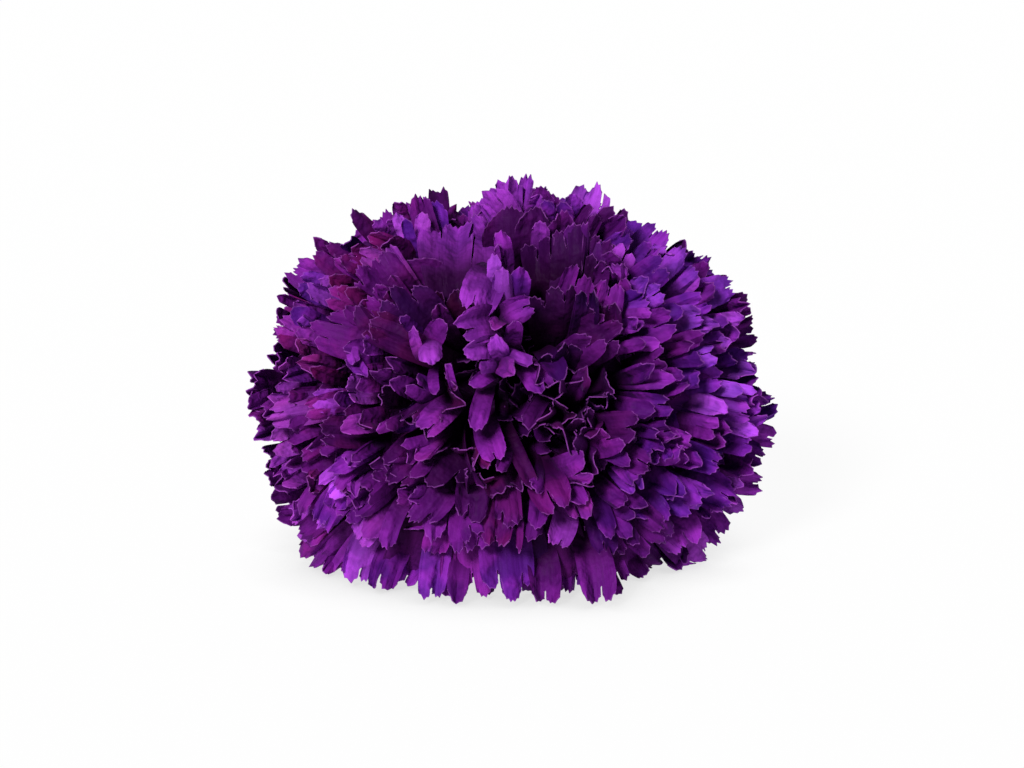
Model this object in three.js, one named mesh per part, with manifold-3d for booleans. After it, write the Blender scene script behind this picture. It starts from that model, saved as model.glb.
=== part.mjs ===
// A cut carnation: one very double bloom lying on a surface, its face to the front (-Y) and tipped up a little,
// with the calyx, the epicalyx and a short cut stem behind it. Millimetres, +Z up, the surface is z = 0.
import * as THREE from "three";
import { mergeVertices } from "three/addons/utils/BufferGeometryUtils.js";
import Module from "manifold-3d";

// ---- driving dimensions -------------------------------------------------------------------------------------

// How far the petals reach from the heart, where their claws meet.
const REACH_SIDE = 50.5;
const REACH_UP = 40.5;
const REACH_DOWN = 50; // before the surface stops them
const REACH_FRONT = 44;
const REACH_BACK = 33;

const HEART_HEIGHT = 31.5; // the bloom's own weight flattens its underside to this
const HEART_SIDE = -1.2; // these two put the origin under the middle of bloom and stem
const HEART_BACK = -13.6;
const FACE_TILT = THREE.MathUtils.degToRad(10);

// Partings in the outline, as the photograph shows them: clock angle in degrees from +X, how deep, how wide.
const PARTINGS = [
  { clock: 105, depth: 0.2, width: 6 },
  { clock: 51, depth: 0.1, width: 5 },
  { clock: 30, depth: 0.06, width: 14 },
  { clock: 10, depth: 0.08, width: 4 },
  { clock: 172, depth: 0.06, width: 4 },
];

const PETAL_COUNT = 106;
const PETAL_THICK = 0.8;
const PETAL_ROOT_HALF = 2.6; // half its width where it leaves the heart
const PETAL_TIP_HALF = 8.6;
const PETAL_LAST_ANGLE = THREE.MathUtils.degToRad(140); // the outermost petals turn back round the calyx
const PETAL_REFLEX = THREE.MathUtils.degToRad(13);
const PETAL_WAVE = 2.6;
const PETAL_TWIST = { heart: 1.3, rim: 0.5 }; // how far blades turn about their length, radians
const TOOTH = 1.5; // how far the teeth stand out at the margin
const GOLDEN_ANGLE = Math.PI * (3 - Math.sqrt(5));

const HEART_SHARE = 0.6; // the crowded inner part of the bloom, as a share of the petals' reach
const HEART_SIDES = 18;

const CALYX_LENGTH = 30;
const CALYX_MOUTH_RADIUS = 9.4;
const CALYX_FOOT_RADIUS = 6.2;
const CALYX_WALL = 0.9;
const CALYX_SOCKET = 22; // how deep the claws stand in it
const CALYX_TEETH = 5;
const CALYX_TOOTH = 6.5;
const CALYX_SIDES = 30;
const CALYX_INSET = 3; // the mouth stands this far behind the heart

const GAP = 0.3; // between pieces that touch

const BRACT_COUNT = 4;
const BRACT_LENGTH = 8.5;
const BRACT_WALL = 0.8;
const BRACT_SIDES = 32;

const STEM_RADIUS = 2.6;
const STEM_LENGTH = 37;
const STEM_SIDES = 16;
const STEM_NODE_RADIUS = 3.7; // the swelling that carries the calyx
const STEM_CUT_SLOPE = 0.6; // the cut end, mm along the stem for each mm across it

// ---- frames and small helpers -------------------------------------------------------------------------------

const wasm = await Module();
wasm.setup();

// The flower's own frame: +Z along its axis out of the face, +X as the world's, the heart at 0.
const flower = new THREE.Matrix4()
  .makeRotationX(Math.PI / 2 - FACE_TILT)
  .setPosition(HEART_SIDE, HEART_BACK, HEART_HEIGHT);
const flowerTurn = new THREE.Matrix3().setFromMatrix4(flower);

// A seeded random number from 0 to 1, so that every build is the same.
function randomSource(seed) {
  let state = seed;
  return () => {
    state = (state + 0x6d2b79f5) | 0;
    let t = Math.imul(state ^ (state >>> 15), 1 | state);
    t = (t + Math.imul(t ^ (t >>> 7), 61 | t)) ^ t;
    return ((t ^ (t >>> 14)) >>> 0) / 4294967296;
  };
}

function geometryOf(points, triangles) {
  const geometry = new THREE.BufferGeometry();
  geometry.setAttribute(
    "position",
    new THREE.Float32BufferAttribute(points.flatMap((p) => [p.x, p.y, p.z]), 3),
  );
  geometry.setIndex(triangles.flat());
  return geometry;
}

function solidOf(geometry) {
  const bare = geometry.clone();
  bare.deleteAttribute("normal");
  bare.deleteAttribute("uv");
  const merged = mergeVertices(bare, 1e-4);
  const vertProperties = new Float32Array(merged.attributes.position.array);
  const triVerts = new Uint32Array(merged.index.array);
  return new wasm.Manifold(
    new wasm.Mesh({ numProp: 3, vertProperties, triVerts }),
  );
}

function meshOf(name, solid, material) {
  const made = solid.getMesh();
  const geometry = new THREE.BufferGeometry();
  geometry.setAttribute(
    "position",
    new THREE.Float32BufferAttribute(made.vertProperties, made.numProp),
  );
  geometry.setIndex(new THREE.BufferAttribute(made.triVerts, 1));
  geometry.computeVertexNormals();
  const mesh = new THREE.Mesh(geometry, material);
  mesh.name = name;
  return mesh;
}

// ---- the form of the bloom ----------------------------------------------------------------------------------

// How far the petals reach from the heart in a direction, given in the world's axes.
function reach(direction) {
  const { x, y, z } = direction;
  const along = y < 0 ? REACH_FRONT : REACH_BACK;
  const upright = z < 0 ? REACH_DOWN : REACH_UP;
  const full =
    1 /
    Math.sqrt((x / REACH_SIDE) ** 2 + (y / along) ** 2 + (z / upright) ** 2);
  const clock = THREE.MathUtils.radToDeg(Math.atan2(z, x));
  const atTheRim = Math.hypot(x, z) ** 2; // a parting fades towards the face and the back
  let share = 1;
  for (const parting of PARTINGS) {
    const off = (clock - parting.clock) / parting.width;
    share -= parting.depth * atTheRim * Math.exp(-off * off);
  }
  const toSurface = z < 0 ? HEART_HEIGHT / -z : Infinity;
  return Math.min(full * share, toSurface);
}

// A direction in the flower's frame, by its angle from the axis and its turn about it.
function flowerDirection(angle, turn) {
  return new THREE.Vector3(
    Math.sin(angle) * Math.cos(turn),
    Math.sin(angle) * Math.sin(turn),
    Math.cos(angle),
  );
}

function reachInFlower(direction) {
  return reach(direction.clone().applyMatrix3(flowerTurn).normalize());
}

// ---- petals -------------------------------------------------------------------------------------------------

// The rows of a blade: where each lies along it, and its points across, from -1 to 1.
const BLADE_ROWS = [
  { along: 0, across: [-1, 1] },
  { along: 0.55, across: [-1, -0.33, 0.33, 1] },
  { along: 1, across: [-1, -0.62, -0.4, 0, 0.4, 0.62, 1] },
];

// The triangles between two rows of points that run the same way.
function rowsJoined(rows) {
  const triangles = [];
  let first = 0;
  for (let r = 0; r + 1 < rows.length; r++) {
    const low = rows[r].across;
    const high = rows[r + 1].across;
    const start = first + low.length;
    let i = 0;
    let j = 0;
    while (i + 1 < low.length || j + 1 < high.length) {
      const stepsHigh =
        i + 1 >= low.length ||
        (j + 1 < high.length && high[j + 1] <= low[i + 1] + 1e-6);
      if (stepsHigh) triangles.push([first + i, start + j + 1, start + j]);
      else triangles.push([first + i, first + i + 1, start + j]);
      if (stepsHigh) j++;
      else i++;
    }
    first = start;
  }
  return triangles;
}

const BLADE_FACES = rowsJoined(BLADE_ROWS);

// The edges that only one triangle has, in the order that it has them.
function rimOf(triangles) {
  const edges = new Map();
  for (const [a, b, c] of triangles)
    for (const [from, to] of [
      [a, b],
      [b, c],
      [c, a],
    ]) {
      if (edges.has(`${to},${from}`)) edges.delete(`${to},${from}`);
      else edges.set(`${from},${to}`, [from, to]);
    }
  return [...edges.values()];
}

const BLADE_RIM = rimOf(BLADE_FACES);

// Gives a sheet of points its thickness: both faces are split into triangles alike.
function thickened(points, triangles, rim, thick) {
  const normals = points.map(() => new THREE.Vector3());
  for (const [a, b, c] of triangles) {
    const u = points[b].clone().sub(points[a]);
    const v = points[c].clone().sub(points[a]);
    const normal = u.cross(v);
    for (const k of [a, b, c]) normals[k].add(normal);
  }
  normals.forEach((n) => n.normalize().multiplyScalar(thick / 2));
  const count = points.length;
  const front = points.map((p, k) => p.clone().add(normals[k]));
  const back = points.map((p, k) => p.clone().sub(normals[k]));
  const faces = triangles.flatMap(([a, b, c]) => [
    [a, b, c],
    [c + count, b + count, a + count],
  ]);
  const walls = rim.flatMap(([a, b]) => [
    [b, a, a + count],
    [b, a + count, b + count],
  ]);
  return geometryOf([...front, ...back], [...faces, ...walls]);
}

// One petal's blade: it leaves the heart, widens, bends away from the axis and waves, with a toothed margin.
function petal(angle, turn, random) {
  const towardsRim = Math.min(angle / 1.1, 1);
  const mostTwist = THREE.MathUtils.lerp(PETAL_TWIST.heart, PETAL_TWIST.rim, towardsRim);
  const twist = (random() - 0.5) * 2 * mostTwist;
  const wave = PETAL_WAVE * (0.6 + 0.8 * random());
  const phase = random() * Math.PI * 2;
  const size = 0.88 + 0.24 * random();
  const tip = flowerDirection(angle, turn);
  const outer = reachInFlower(tip) * (0.95 + 0.06 * random());
  const inner = outer * HEART_SHARE * 0.86;
  const points = [];
  for (const { along, across } of BLADE_ROWS) {
    const bent = angle - PETAL_REFLEX * (1 - along) ** 1.6;
    const out = flowerDirection(bent, turn);
    const side = new THREE.Vector3(-Math.sin(turn), Math.cos(turn), 0);
    side.applyAxisAngle(out, twist * (0.3 + 0.7 * along));
    const normal = new THREE.Vector3().crossVectors(side, out);
    const half = THREE.MathUtils.lerp(
      PETAL_ROOT_HALF,
      PETAL_TIP_HALF * size,
      along ** 0.9,
    );
    across.forEach((u, k) => {
      const tooth = along < 1 ? 0 : k % 2 ? -TOOTH : 0;
      const rounded = 0.14 * half * u * u;
      const far = THREE.MathUtils.lerp(inner, outer, along) + tooth - rounded;
      const lift = wave * along * Math.sin(phase + 3.2 * u) - 0.1 * half * u * u;
      points.push(
        out
          .clone()
          .multiplyScalar(far)
          .addScaledVector(side, half * u)
          .addScaledVector(normal, lift),
      );
    });
  }
  return solidOf(thickened(points, BLADE_FACES, BLADE_RIM, PETAL_THICK));
}

// The petals round the axis as they grow, each a golden angle on from the last and a little further out.
function petals() {
  const random = randomSource(7);
  const made = [];
  for (let i = 0; i < PETAL_COUNT; i++) {
    const share = (i + 0.5) / PETAL_COUNT;
    const cosine = 1 - share * (1 - Math.cos(PETAL_LAST_ANGLE));
    const angle = Math.acos(cosine) + (random() - 0.5) * 0.08;
    const turn = i * GOLDEN_ANGLE + (random() - 0.5) * 0.12;
    made.push(petal(Math.max(angle, 0.04), turn, random));
  }
  return made;
}

// The crowded inner part that the blades stand out of.
function heart() {
  const crowd = new THREE.SphereGeometry(1, HEART_SIDES, HEART_SIDES / 2);
  const place = crowd.attributes.position;
  const point = new THREE.Vector3();
  for (let i = 0; i < place.count; i++) {
    point.fromBufferAttribute(place, i).normalize();
    point.multiplyScalar(reachInFlower(point) * HEART_SHARE);
    place.setXYZ(i, point.x, point.y, point.z);
  }
  return solidOf(crowd);
}

// A closed solid of revolution about the flower's axis. The profile is [radius, height] pairs from foot to top.
function turned(profile, sides) {
  const lathe = new THREE.LatheGeometry(
    profile.map(([radius, height]) => new THREE.Vector2(radius, height)),
    sides,
  );
  lathe.rotateX(Math.PI / 2);
  return solidOf(lathe);
}

const calyxMouth = -CALYX_INSET;
const calyxFoot = calyxMouth - CALYX_LENGTH;
const socketFloor = calyxMouth - CALYX_SOCKET;

// The calyx's outer radius at a height on the flower's axis: slim at the foot, bellied, then the mouth.
function calyxRadius(height) {
  const share = THREE.MathUtils.clamp((height - calyxFoot) / CALYX_LENGTH, 0, 1);
  const belly = 0.9 * Math.sin(Math.PI * share);
  return (
    THREE.MathUtils.lerp(CALYX_FOOT_RADIUS, CALYX_MOUTH_RADIUS, share) + belly
  );
}

// How much the calyx opens outwards near its rim.
function calyxFlare(height) {
  return 0.035 * Math.max(height - calyxMouth + CALYX_TOOTH / 2, 0) ** 1.6;
}

// The room that the petals leave free for the calyx, a gap wider all round.
function calyxRoom() {
  const gap = 1.6 * GAP; // the facets of the two stand closer than their curves
  const top = calyxMouth + CALYX_TOOTH / 2 + GAP;
  const shares = [0, 0.25, 0.55, 0.85, 1];
  const heights = [...shares.map((s) => calyxFoot + s * CALYX_LENGTH), top];
  const wall = heights.map((height) => [
    calyxRadius(height) + calyxFlare(height) + gap,
    height,
  ]);
  return turned([[0, calyxFoot], ...wall, [0, top]], CALYX_SIDES);
}

// The bundle of the petals' claws, which stands in the calyx and carries the heart.
function claws() {
  const inside = (height) => calyxRadius(height) - CALYX_WALL - GAP;
  const low = socketFloor + GAP;
  const heights = [low, (low + calyxMouth) / 2, calyxMouth, calyxMouth + 8];
  const profile = heights.map((height) => [inside(height), height]);
  const top = heights[heights.length - 1];
  return turned([[0, low], ...profile, [0, top]], 20);
}

// All petals as one body, pressed flat where it meets the surface.
function bloom(material) {
  const head = wasm.Manifold.union([heart(), ...petals()]).subtract(calyxRoom());
  const joined = head.add(claws());
  const placed = joined.transform(flower.elements);
  const under = new THREE.BoxGeometry(4 * REACH_SIDE, 4 * REACH_SIDE, REACH_SIDE);
  under.translate(0, 0, -REACH_SIDE / 2);
  const whole = placed.subtract(solidOf(under));
  const bodies = whole.decompose().sort((a, b) => b.volume() - a.volume());
  return meshOf("bloom", bodies[0], material);
}

// ---- calyx, epicalyx and stem -------------------------------------------------------------------------------

// A cup about the flower's axis whose rim rises and falls. Each ring is a radius and a height, by angle.
function cup(outer, inner, sides) {
  const rings = [...outer, ...inner];
  const points = rings.flatMap(({ radius, height }) =>
    Array.from({ length: sides }, (_, k) => {
      const turn = (k / sides) * 2 * Math.PI;
      const z = height(turn);
      const r = radius(z, turn);
      return new THREE.Vector3(r * Math.cos(turn), r * Math.sin(turn), z);
    }),
  );
  const triangles = [];
  for (let ring = 0; ring + 1 < rings.length; ring++)
    for (let k = 0; k < sides; k++) {
      const a = ring * sides + k;
      const b = ring * sides + ((k + 1) % sides);
      triangles.push([a, b, b + sides], [a, b + sides, a + sides]);
    }
  const foot = points.push(new THREE.Vector3(0, 0, outer[0].height(0))) - 1;
  const floor =
    points.push(new THREE.Vector3(0, 0, inner[inner.length - 1].height(0))) - 1;
  const last = (rings.length - 1) * sides;
  for (let k = 0; k < sides; k++) {
    const next = (k + 1) % sides;
    triangles.push([next, k, foot], [last + k, last + next, floor]);
  }
  return solidOf(geometryOf(points, triangles));
}

// From 0 between two points of a rim to 1 at each of them.
function pointed(turn, count) {
  const part = (turn * count) / (2 * Math.PI);
  return 1 - 2 * Math.abs(part - Math.round(part));
}

function calyx(material) {
  const rimAt = (turn) =>
    calyxMouth + CALYX_TOOTH * (pointed(turn, CALYX_TEETH) - 0.5);
  const outside = (z) => calyxRadius(z) + calyxFlare(z);
  const inside = (z) => outside(z) - CALYX_WALL;
  const level = (share) => () => calyxFoot + share * CALYX_LENGTH;
  const outer = [
    { radius: outside, height: level(0) },
    { radius: outside, height: level(0.25) },
    { radius: outside, height: level(0.55) },
    { radius: outside, height: level(0.85) },
    { radius: outside, height: rimAt },
  ];
  const inner = [
    { radius: inside, height: rimAt },
    { radius: inside, height: level(0.85) },
    { radius: inside, height: level(0.55) },
    { radius: inside, height: () => socketFloor },
  ];
  const made = cup(outer, inner, CALYX_SIDES);
  return meshOf("calyx", made.transform(flower.elements), material);
}

// Four short scale leaves that clasp the foot of the calyx.
function epicalyx(material) {
  const foot = calyxFoot - BRACT_WALL - GAP;
  const rimAt = (turn) =>
    calyxFoot + BRACT_LENGTH * (0.35 + 0.65 * pointed(turn, BRACT_COUNT) ** 0.8);
  const inside = (z) => calyxRadius(z) + GAP + 0.02 * Math.max(z - calyxFoot, 0) ** 1.5;
  const outside = (z) => inside(z) + BRACT_WALL;
  const outer = [
    { radius: () => STEM_NODE_RADIUS, height: () => foot },
    { radius: (z) => outside(z) - 0.4, height: () => calyxFoot - GAP },
    { radius: outside, height: () => calyxFoot + 0.3 * BRACT_LENGTH },
    { radius: outside, height: rimAt },
  ];
  const inner = [
    { radius: inside, height: rimAt },
    { radius: inside, height: () => calyxFoot + 0.3 * BRACT_LENGTH },
    { radius: inside, height: () => calyxFoot - GAP },
  ];
  const made = cup(outer, inner, BRACT_SIDES);
  return meshOf("epicalyx", made.transform(flower.elements), material);
}

function stem(material) {
  const top = calyxFoot - BRACT_WALL - 2 * GAP;
  const end = top - STEM_LENGTH;
  const rod = turned(
    [
      [0, end],
      [STEM_RADIUS, end],
      [STEM_RADIUS, top - 7],
      [STEM_RADIUS + 0.3, top - 3.5],
      [STEM_NODE_RADIUS, top - 1],
      [STEM_NODE_RADIUS, top],
      [0, top],
    ],
    STEM_SIDES,
  );
  const knife = new THREE.BoxGeometry(30, 30, 30);
  knife.translate(0, 0, -15);
  knife.rotateX(Math.atan(STEM_CUT_SLOPE));
  knife.translate(0, 0, end + STEM_RADIUS * STEM_CUT_SLOPE);
  const cut = rod.subtract(solidOf(knife));
  return meshOf("stem", cut.transform(flower.elements), material);
}

// ---- the carnation ------------------------------------------------------------------------------------------

const petalViolet = new THREE.MeshStandardMaterial({
  color: 0x5a1a86,
  roughness: 0.75,
  metalness: 0,
  side: THREE.DoubleSide,
});
const calyxGreen = new THREE.MeshStandardMaterial({
  color: 0x6f8a4a,
  roughness: 0.6,
  metalness: 0,
});
const stemGreen = new THREE.MeshStandardMaterial({
  color: 0x7d9a62,
  roughness: 0.6,
  metalness: 0,
});

const carnation = new THREE.Group();
carnation.add(
  bloom(petalViolet),
  calyx(calyxGreen),
  epicalyx(stemGreen),
  stem(stemGreen),
);

export default carnation;
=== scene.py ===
import math
import bpy
import numpy as np
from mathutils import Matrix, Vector


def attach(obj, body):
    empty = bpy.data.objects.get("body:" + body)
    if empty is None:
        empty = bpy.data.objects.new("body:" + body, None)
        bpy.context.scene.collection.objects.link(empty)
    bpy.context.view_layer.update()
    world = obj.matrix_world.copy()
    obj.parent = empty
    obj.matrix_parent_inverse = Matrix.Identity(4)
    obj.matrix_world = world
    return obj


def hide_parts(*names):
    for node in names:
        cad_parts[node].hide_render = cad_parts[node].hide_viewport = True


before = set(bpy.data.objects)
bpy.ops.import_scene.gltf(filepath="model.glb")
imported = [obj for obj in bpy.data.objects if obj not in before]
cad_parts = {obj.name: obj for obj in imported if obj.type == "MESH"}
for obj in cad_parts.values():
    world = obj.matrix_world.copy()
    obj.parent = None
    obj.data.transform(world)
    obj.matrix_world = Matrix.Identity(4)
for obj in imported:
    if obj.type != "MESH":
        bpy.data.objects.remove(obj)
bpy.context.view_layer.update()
print("frame loaded:", sorted(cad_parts))

mm = 0.001  # shapes are worked out in millimetres and stored in metres

# Where the bloom lies and how far its petals reach from the heart, as in the part's source.
bloomForm = {
    "heart": np.array([-1.2, -13.6, 31.5]),
    "faceTilt": 10.0,  # degrees, the face looks up a little
    "faceYaw": 3.0,  # degrees, and a little to the right
    "reachSide": 50.5,
    "reachUp": 40.5,
    "reachDown": 50.0,
    "reachFront": 44.0,
    "reachBack": 33.0,
    "partings": [(105, 0.2, 6), (51, 0.1, 5), (30, 0.06, 14), (10, 0.08, 4), (172, 0.06, 4)],
    "lowest": 0.25,  # no petal goes nearer the surface than this
}

# Where the camera stands, as for the photograph. Places given by its pixels are found from here.
viewForm = {
    "distance": 534.0,
    "tilt": 14.0,  # degrees, the camera looks down a little
    "lookAt": np.array([-0.3, -13.6, 30.7]),
    "lens": 100.0,
    "sensor": 36.0,
    "picture": (1024, 768),
}


def unit(v):
    return v / np.linalg.norm(v)


def axesOf(tilt, yaw):
    # columns are the flower's own X, Y and Z in the world; Z runs out of its face
    a, b = math.radians(90 - tilt), math.radians(yaw)
    tipUp = np.array([[1, 0, 0], [0, math.cos(a), -math.sin(a)], [0, math.sin(a), math.cos(a)]])
    turn = np.array([[math.cos(b), -math.sin(b), 0], [math.sin(b), math.cos(b), 0], [0, 0, 1]])
    return turn @ tipUp


flowerAxes = axesOf(bloomForm["faceTilt"], bloomForm["faceYaw"])
stemAxes = axesOf(bloomForm["faceTilt"], 0)


def reachOf(direction):
    # how far petals reach from the heart along a world direction, in mm
    f = bloomForm
    x, y, z = direction
    along = f["reachFront"] if y < 0 else f["reachBack"]
    upright = f["reachDown"] if z < 0 else f["reachUp"]
    full = 1 / math.sqrt((x / f["reachSide"]) ** 2 + (y / along) ** 2 + (z / upright) ** 2)
    clock = math.degrees(math.atan2(z, x))
    share = 1.0
    for at, depth, width in f["partings"]:
        share -= depth * (x * x + z * z) * math.exp(-(((clock - at) / width) ** 2))
    toSurface = f["heart"][2] / -z if z < 0 else 1e9
    return min(full * share, toSurface)


def polar(angle, clock):
    # a world direction by its angle from the flower's axis and its clock angle round it, in degrees
    a, c = math.radians(angle), math.radians(clock)
    local = np.array([math.sin(a) * math.cos(c), math.sin(a) * math.sin(c), math.cos(a)])
    return flowerAxes @ local


def outward(angle, clock):
    # the world direction that leads away from the axis over the bloom's surface there
    a, c = math.radians(angle), math.radians(clock)
    local = np.array([math.cos(a) * math.cos(c), math.cos(a) * math.sin(c), -math.sin(a)])
    return flowerAxes @ local


def viewAxes():
    # the directions towards the camera, to its right and up
    tilt = math.radians(viewForm["tilt"])
    return (
        np.array([0, -math.cos(tilt), math.sin(tilt)]),
        np.array([1.0, 0, 0]),
        np.array([0, math.sin(tilt), math.cos(tilt)]),
    )


def focalPixels():
    return viewForm["lens"] / viewForm["sensor"] * viewForm["picture"][0]


def seenAt(x, y, share, above):
    # the place that shows at a pixel, at a share of the petals' reach, or this high over the surface
    back, right, up = viewAxes()
    width, height = viewForm["picture"]
    way = unit(-back + (right * (x - width / 2) - up * (y - height / 2)) / focalPixels())
    eye = viewForm["lookAt"] + back * viewForm["distance"]
    deep = (bloomForm["heart"] - eye) @ way
    near = deep - 70

    def within(distance):
        off = eye + way * distance - bloomForm["heart"]
        return np.linalg.norm(off) < share * reachOf(unit(off))

    if within(deep):
        for _ in range(24):
            middle = (near + deep) / 2
            near, deep = (near, middle) if within(middle) else (middle, deep)
    place = eye + way * deep
    if place[2] < above:
        place = eye + way * (above - eye[2]) / way[2]
    return place


def pixelOf(place):
    # where a place shows in the picture
    back, right, up = viewAxes()
    off = place - viewForm["lookAt"] - back * viewForm["distance"]
    scale = focalPixels() / -(off @ back)
    width, height = viewForm["picture"]
    return np.array([width / 2 + (off @ right) * scale, height / 2 - (off @ up) * scale])


def smooth(low, high, value):
    t = np.clip((value - low) / (high - low), 0, 1)
    return t * t * (3 - 2 * t)


def deselect():
    if bpy.context.object and bpy.context.object.mode != "OBJECT":
        bpy.ops.object.mode_set(mode="OBJECT")
    bpy.ops.object.select_all(action="DESELECT")


def activate(piece):
    deselect()
    piece.select_set(True)
    bpy.context.view_layer.objects.active = piece


def applyModifiers(piece):
    activate(piece)
    for modifier in list(piece.modifiers):
        bpy.ops.object.modifier_apply(modifier=modifier.name)


def placeOf(piece):
    co = np.empty(len(piece.data.vertices) * 3)
    piece.data.vertices.foreach_get("co", co)
    return co.reshape(-1, 3)


def setPlace(piece, points):
    piece.data.vertices.foreach_set("co", np.asarray(points, dtype=np.float32).ravel())
    piece.data.update()


def setOnFlower(piece):
    # from the flower's own frame, in metres from the heart, to the world
    setPlace(piece, placeOf(piece) @ stemAxes.T + bloomForm["heart"] * mm)


# Short ways to add shader nodes and to join them.
def feed(tree, node, values):
    # sets a number or a colour on an input, or links another node's output to it
    for label, value in values.items():
        socket = node.inputs[label]
        if isinstance(value, bpy.types.NodeSocket):
            tree.links.new(value, socket)
        elif socket.type == "RGBA":
            socket.default_value = (*value, 1)
        else:
            socket.default_value = value


def shaderNode(tree, kind, inputs=None, **values):
    made = tree.nodes.new(kind)
    for key, value in values.items():
        setattr(made, key, value)
    feed(tree, made, inputs or {})
    return made


def newGroup(name, inputs, outputs):
    group = bpy.data.node_groups.new(name, "ShaderNodeTree")
    for label, kind, value in inputs:
        made = group.interface.new_socket(name=label, in_out="INPUT", socket_type=kind)
        if value is not None:
            made.default_value = value
    for label, kind in outputs:
        group.interface.new_socket(name=label, in_out="OUTPUT", socket_type=kind)
    return group, group.nodes.new("NodeGroupInput"), group.nodes.new("NodeGroupOutput")


def newMaterial(name):
    material = bpy.data.materials.new(name)
    material.use_nodes = True
    return material, material.node_tree, material.node_tree.nodes["Principled BSDF"]


def mathNode(tree, operation, a, b, clamp=False):
    return shaderNode(tree, "ShaderNodeMath", {0: a, 1: b}, operation=operation, use_clamp=clamp).outputs[0]


def ramp(tree, value, fromLow, fromHigh, toLow=0.0, toHigh=1.0):
    limits = {"Value": value, "From Min": fromLow, "From Max": fromHigh, "To Min": toLow, "To Max": toHigh}
    return shaderNode(tree, "ShaderNodeMapRange", limits, interpolation_type="SMOOTHSTEP").outputs["Result"]


def mixColour(tree, factor, a, b, blend="MIX"):
    colours = {0: factor, 6: a, 7: b}
    return shaderNode(tree, "ShaderNodeMix", colours, data_type="RGBA", blend_type=blend).outputs[2]


def bumpNode(tree, height, strength, distance, normal=None):
    depth = {"Height": height, "Strength": strength, "Distance": distance}
    made = shaderNode(tree, "ShaderNodeBump", depth)
    if normal:
        tree.links.new(normal, made.inputs["Normal"])
    return made.outputs[0]


# Fine lines that run along a petal, scale or stem.
veinGroup, veinIn, veinOut = newGroup(
    "lengthwise veins",
    [("Map", "NodeSocketVector", None), ("Stretch", "NodeSocketVector", (1.0, 1.0, 1.0))],
    [("Veins", "NodeSocketFloat")],
)
scaled = shaderNode(
    veinGroup, "ShaderNodeVectorMath", {0: veinIn.outputs["Map"], 1: veinIn.outputs["Stretch"]},
    operation="MULTIPLY",
)
veinNoise = shaderNode(
    veinGroup, "ShaderNodeTexNoise", {"Vector": scaled.outputs[0], "Scale": 1.0, "Detail": 2.0}
)
feed(veinGroup, veinOut, {"Veins": ramp(veinGroup, veinNoise.outputs["Fac"], 0.35, 0.65)})

# Soft cloudy change of tone and a fine grain, by the place on the piece.
mottleGroup, mottleIn, mottleOut = newGroup(
    "cloudy mottle",
    [("Size", "NodeSocketFloat", 120.0)],
    [("Mottle", "NodeSocketFloat"), ("Grain", "NodeSocketFloat")],
)
place = shaderNode(mottleGroup, "ShaderNodeTexCoord").outputs["Object"]
cloud = shaderNode(
    mottleGroup, "ShaderNodeTexNoise", {"Vector": place, "Scale": mottleIn.outputs["Size"], "Detail": 3.0}
)
grain = shaderNode(mottleGroup, "ShaderNodeTexNoise", {"Vector": place, "Scale": 2600.0, "Detail": 2.0})
mottled = ramp(mottleGroup, cloud.outputs["Fac"], 0.3, 0.7)
feed(mottleGroup, mottleOut, {"Mottle": mottled, "Grain": grain.outputs["Fac"]})

petalLook = {
    "blueViolet": (0.130, 0.012, 0.400),
    "violet": (0.255, 0.016, 0.385),
    "wine": (0.205, 0.006, 0.130),
    "throatAndShade": (0.012, 0.0004, 0.013),  # towards the claw: partly the petal's own deeper colour and partly painted shade where its neighbours cover it
    "throatShadeShare": 0.94,
    "throatShadeEnds": (0.26, 0.95),  # shares of the petal's length between which the painted throat shade goes
    "sheenPale": (0.235, 0.056, 0.405),  # painted sheen: the brightest petals are mixed a little towards a paler, greyer colour
    "sheenPaleShare": 0.5,
    "sheenPaleFrom": (0.24, 0.75),
    "edge": (0.330, 0.075, 0.430),  # painted highlight where the cut margin catches the light, over the margin's own slightly lighter colour
    "edgeHighlightShare": 0.42,
    "edgeHighlightEnds": (0.02, 0.15),  # mm from the margin
    "veins": (40.0, 2.2, 0.0),
    "veinShare": 0.17,
    "cloudSize": 170.0,
    "cloudHue": 0.11,  # either way
    "cloudTone": (0.68, 1.25),
    "roughness": (0.55, 0.7),
    "crumple": 0.0009,
}


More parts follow.
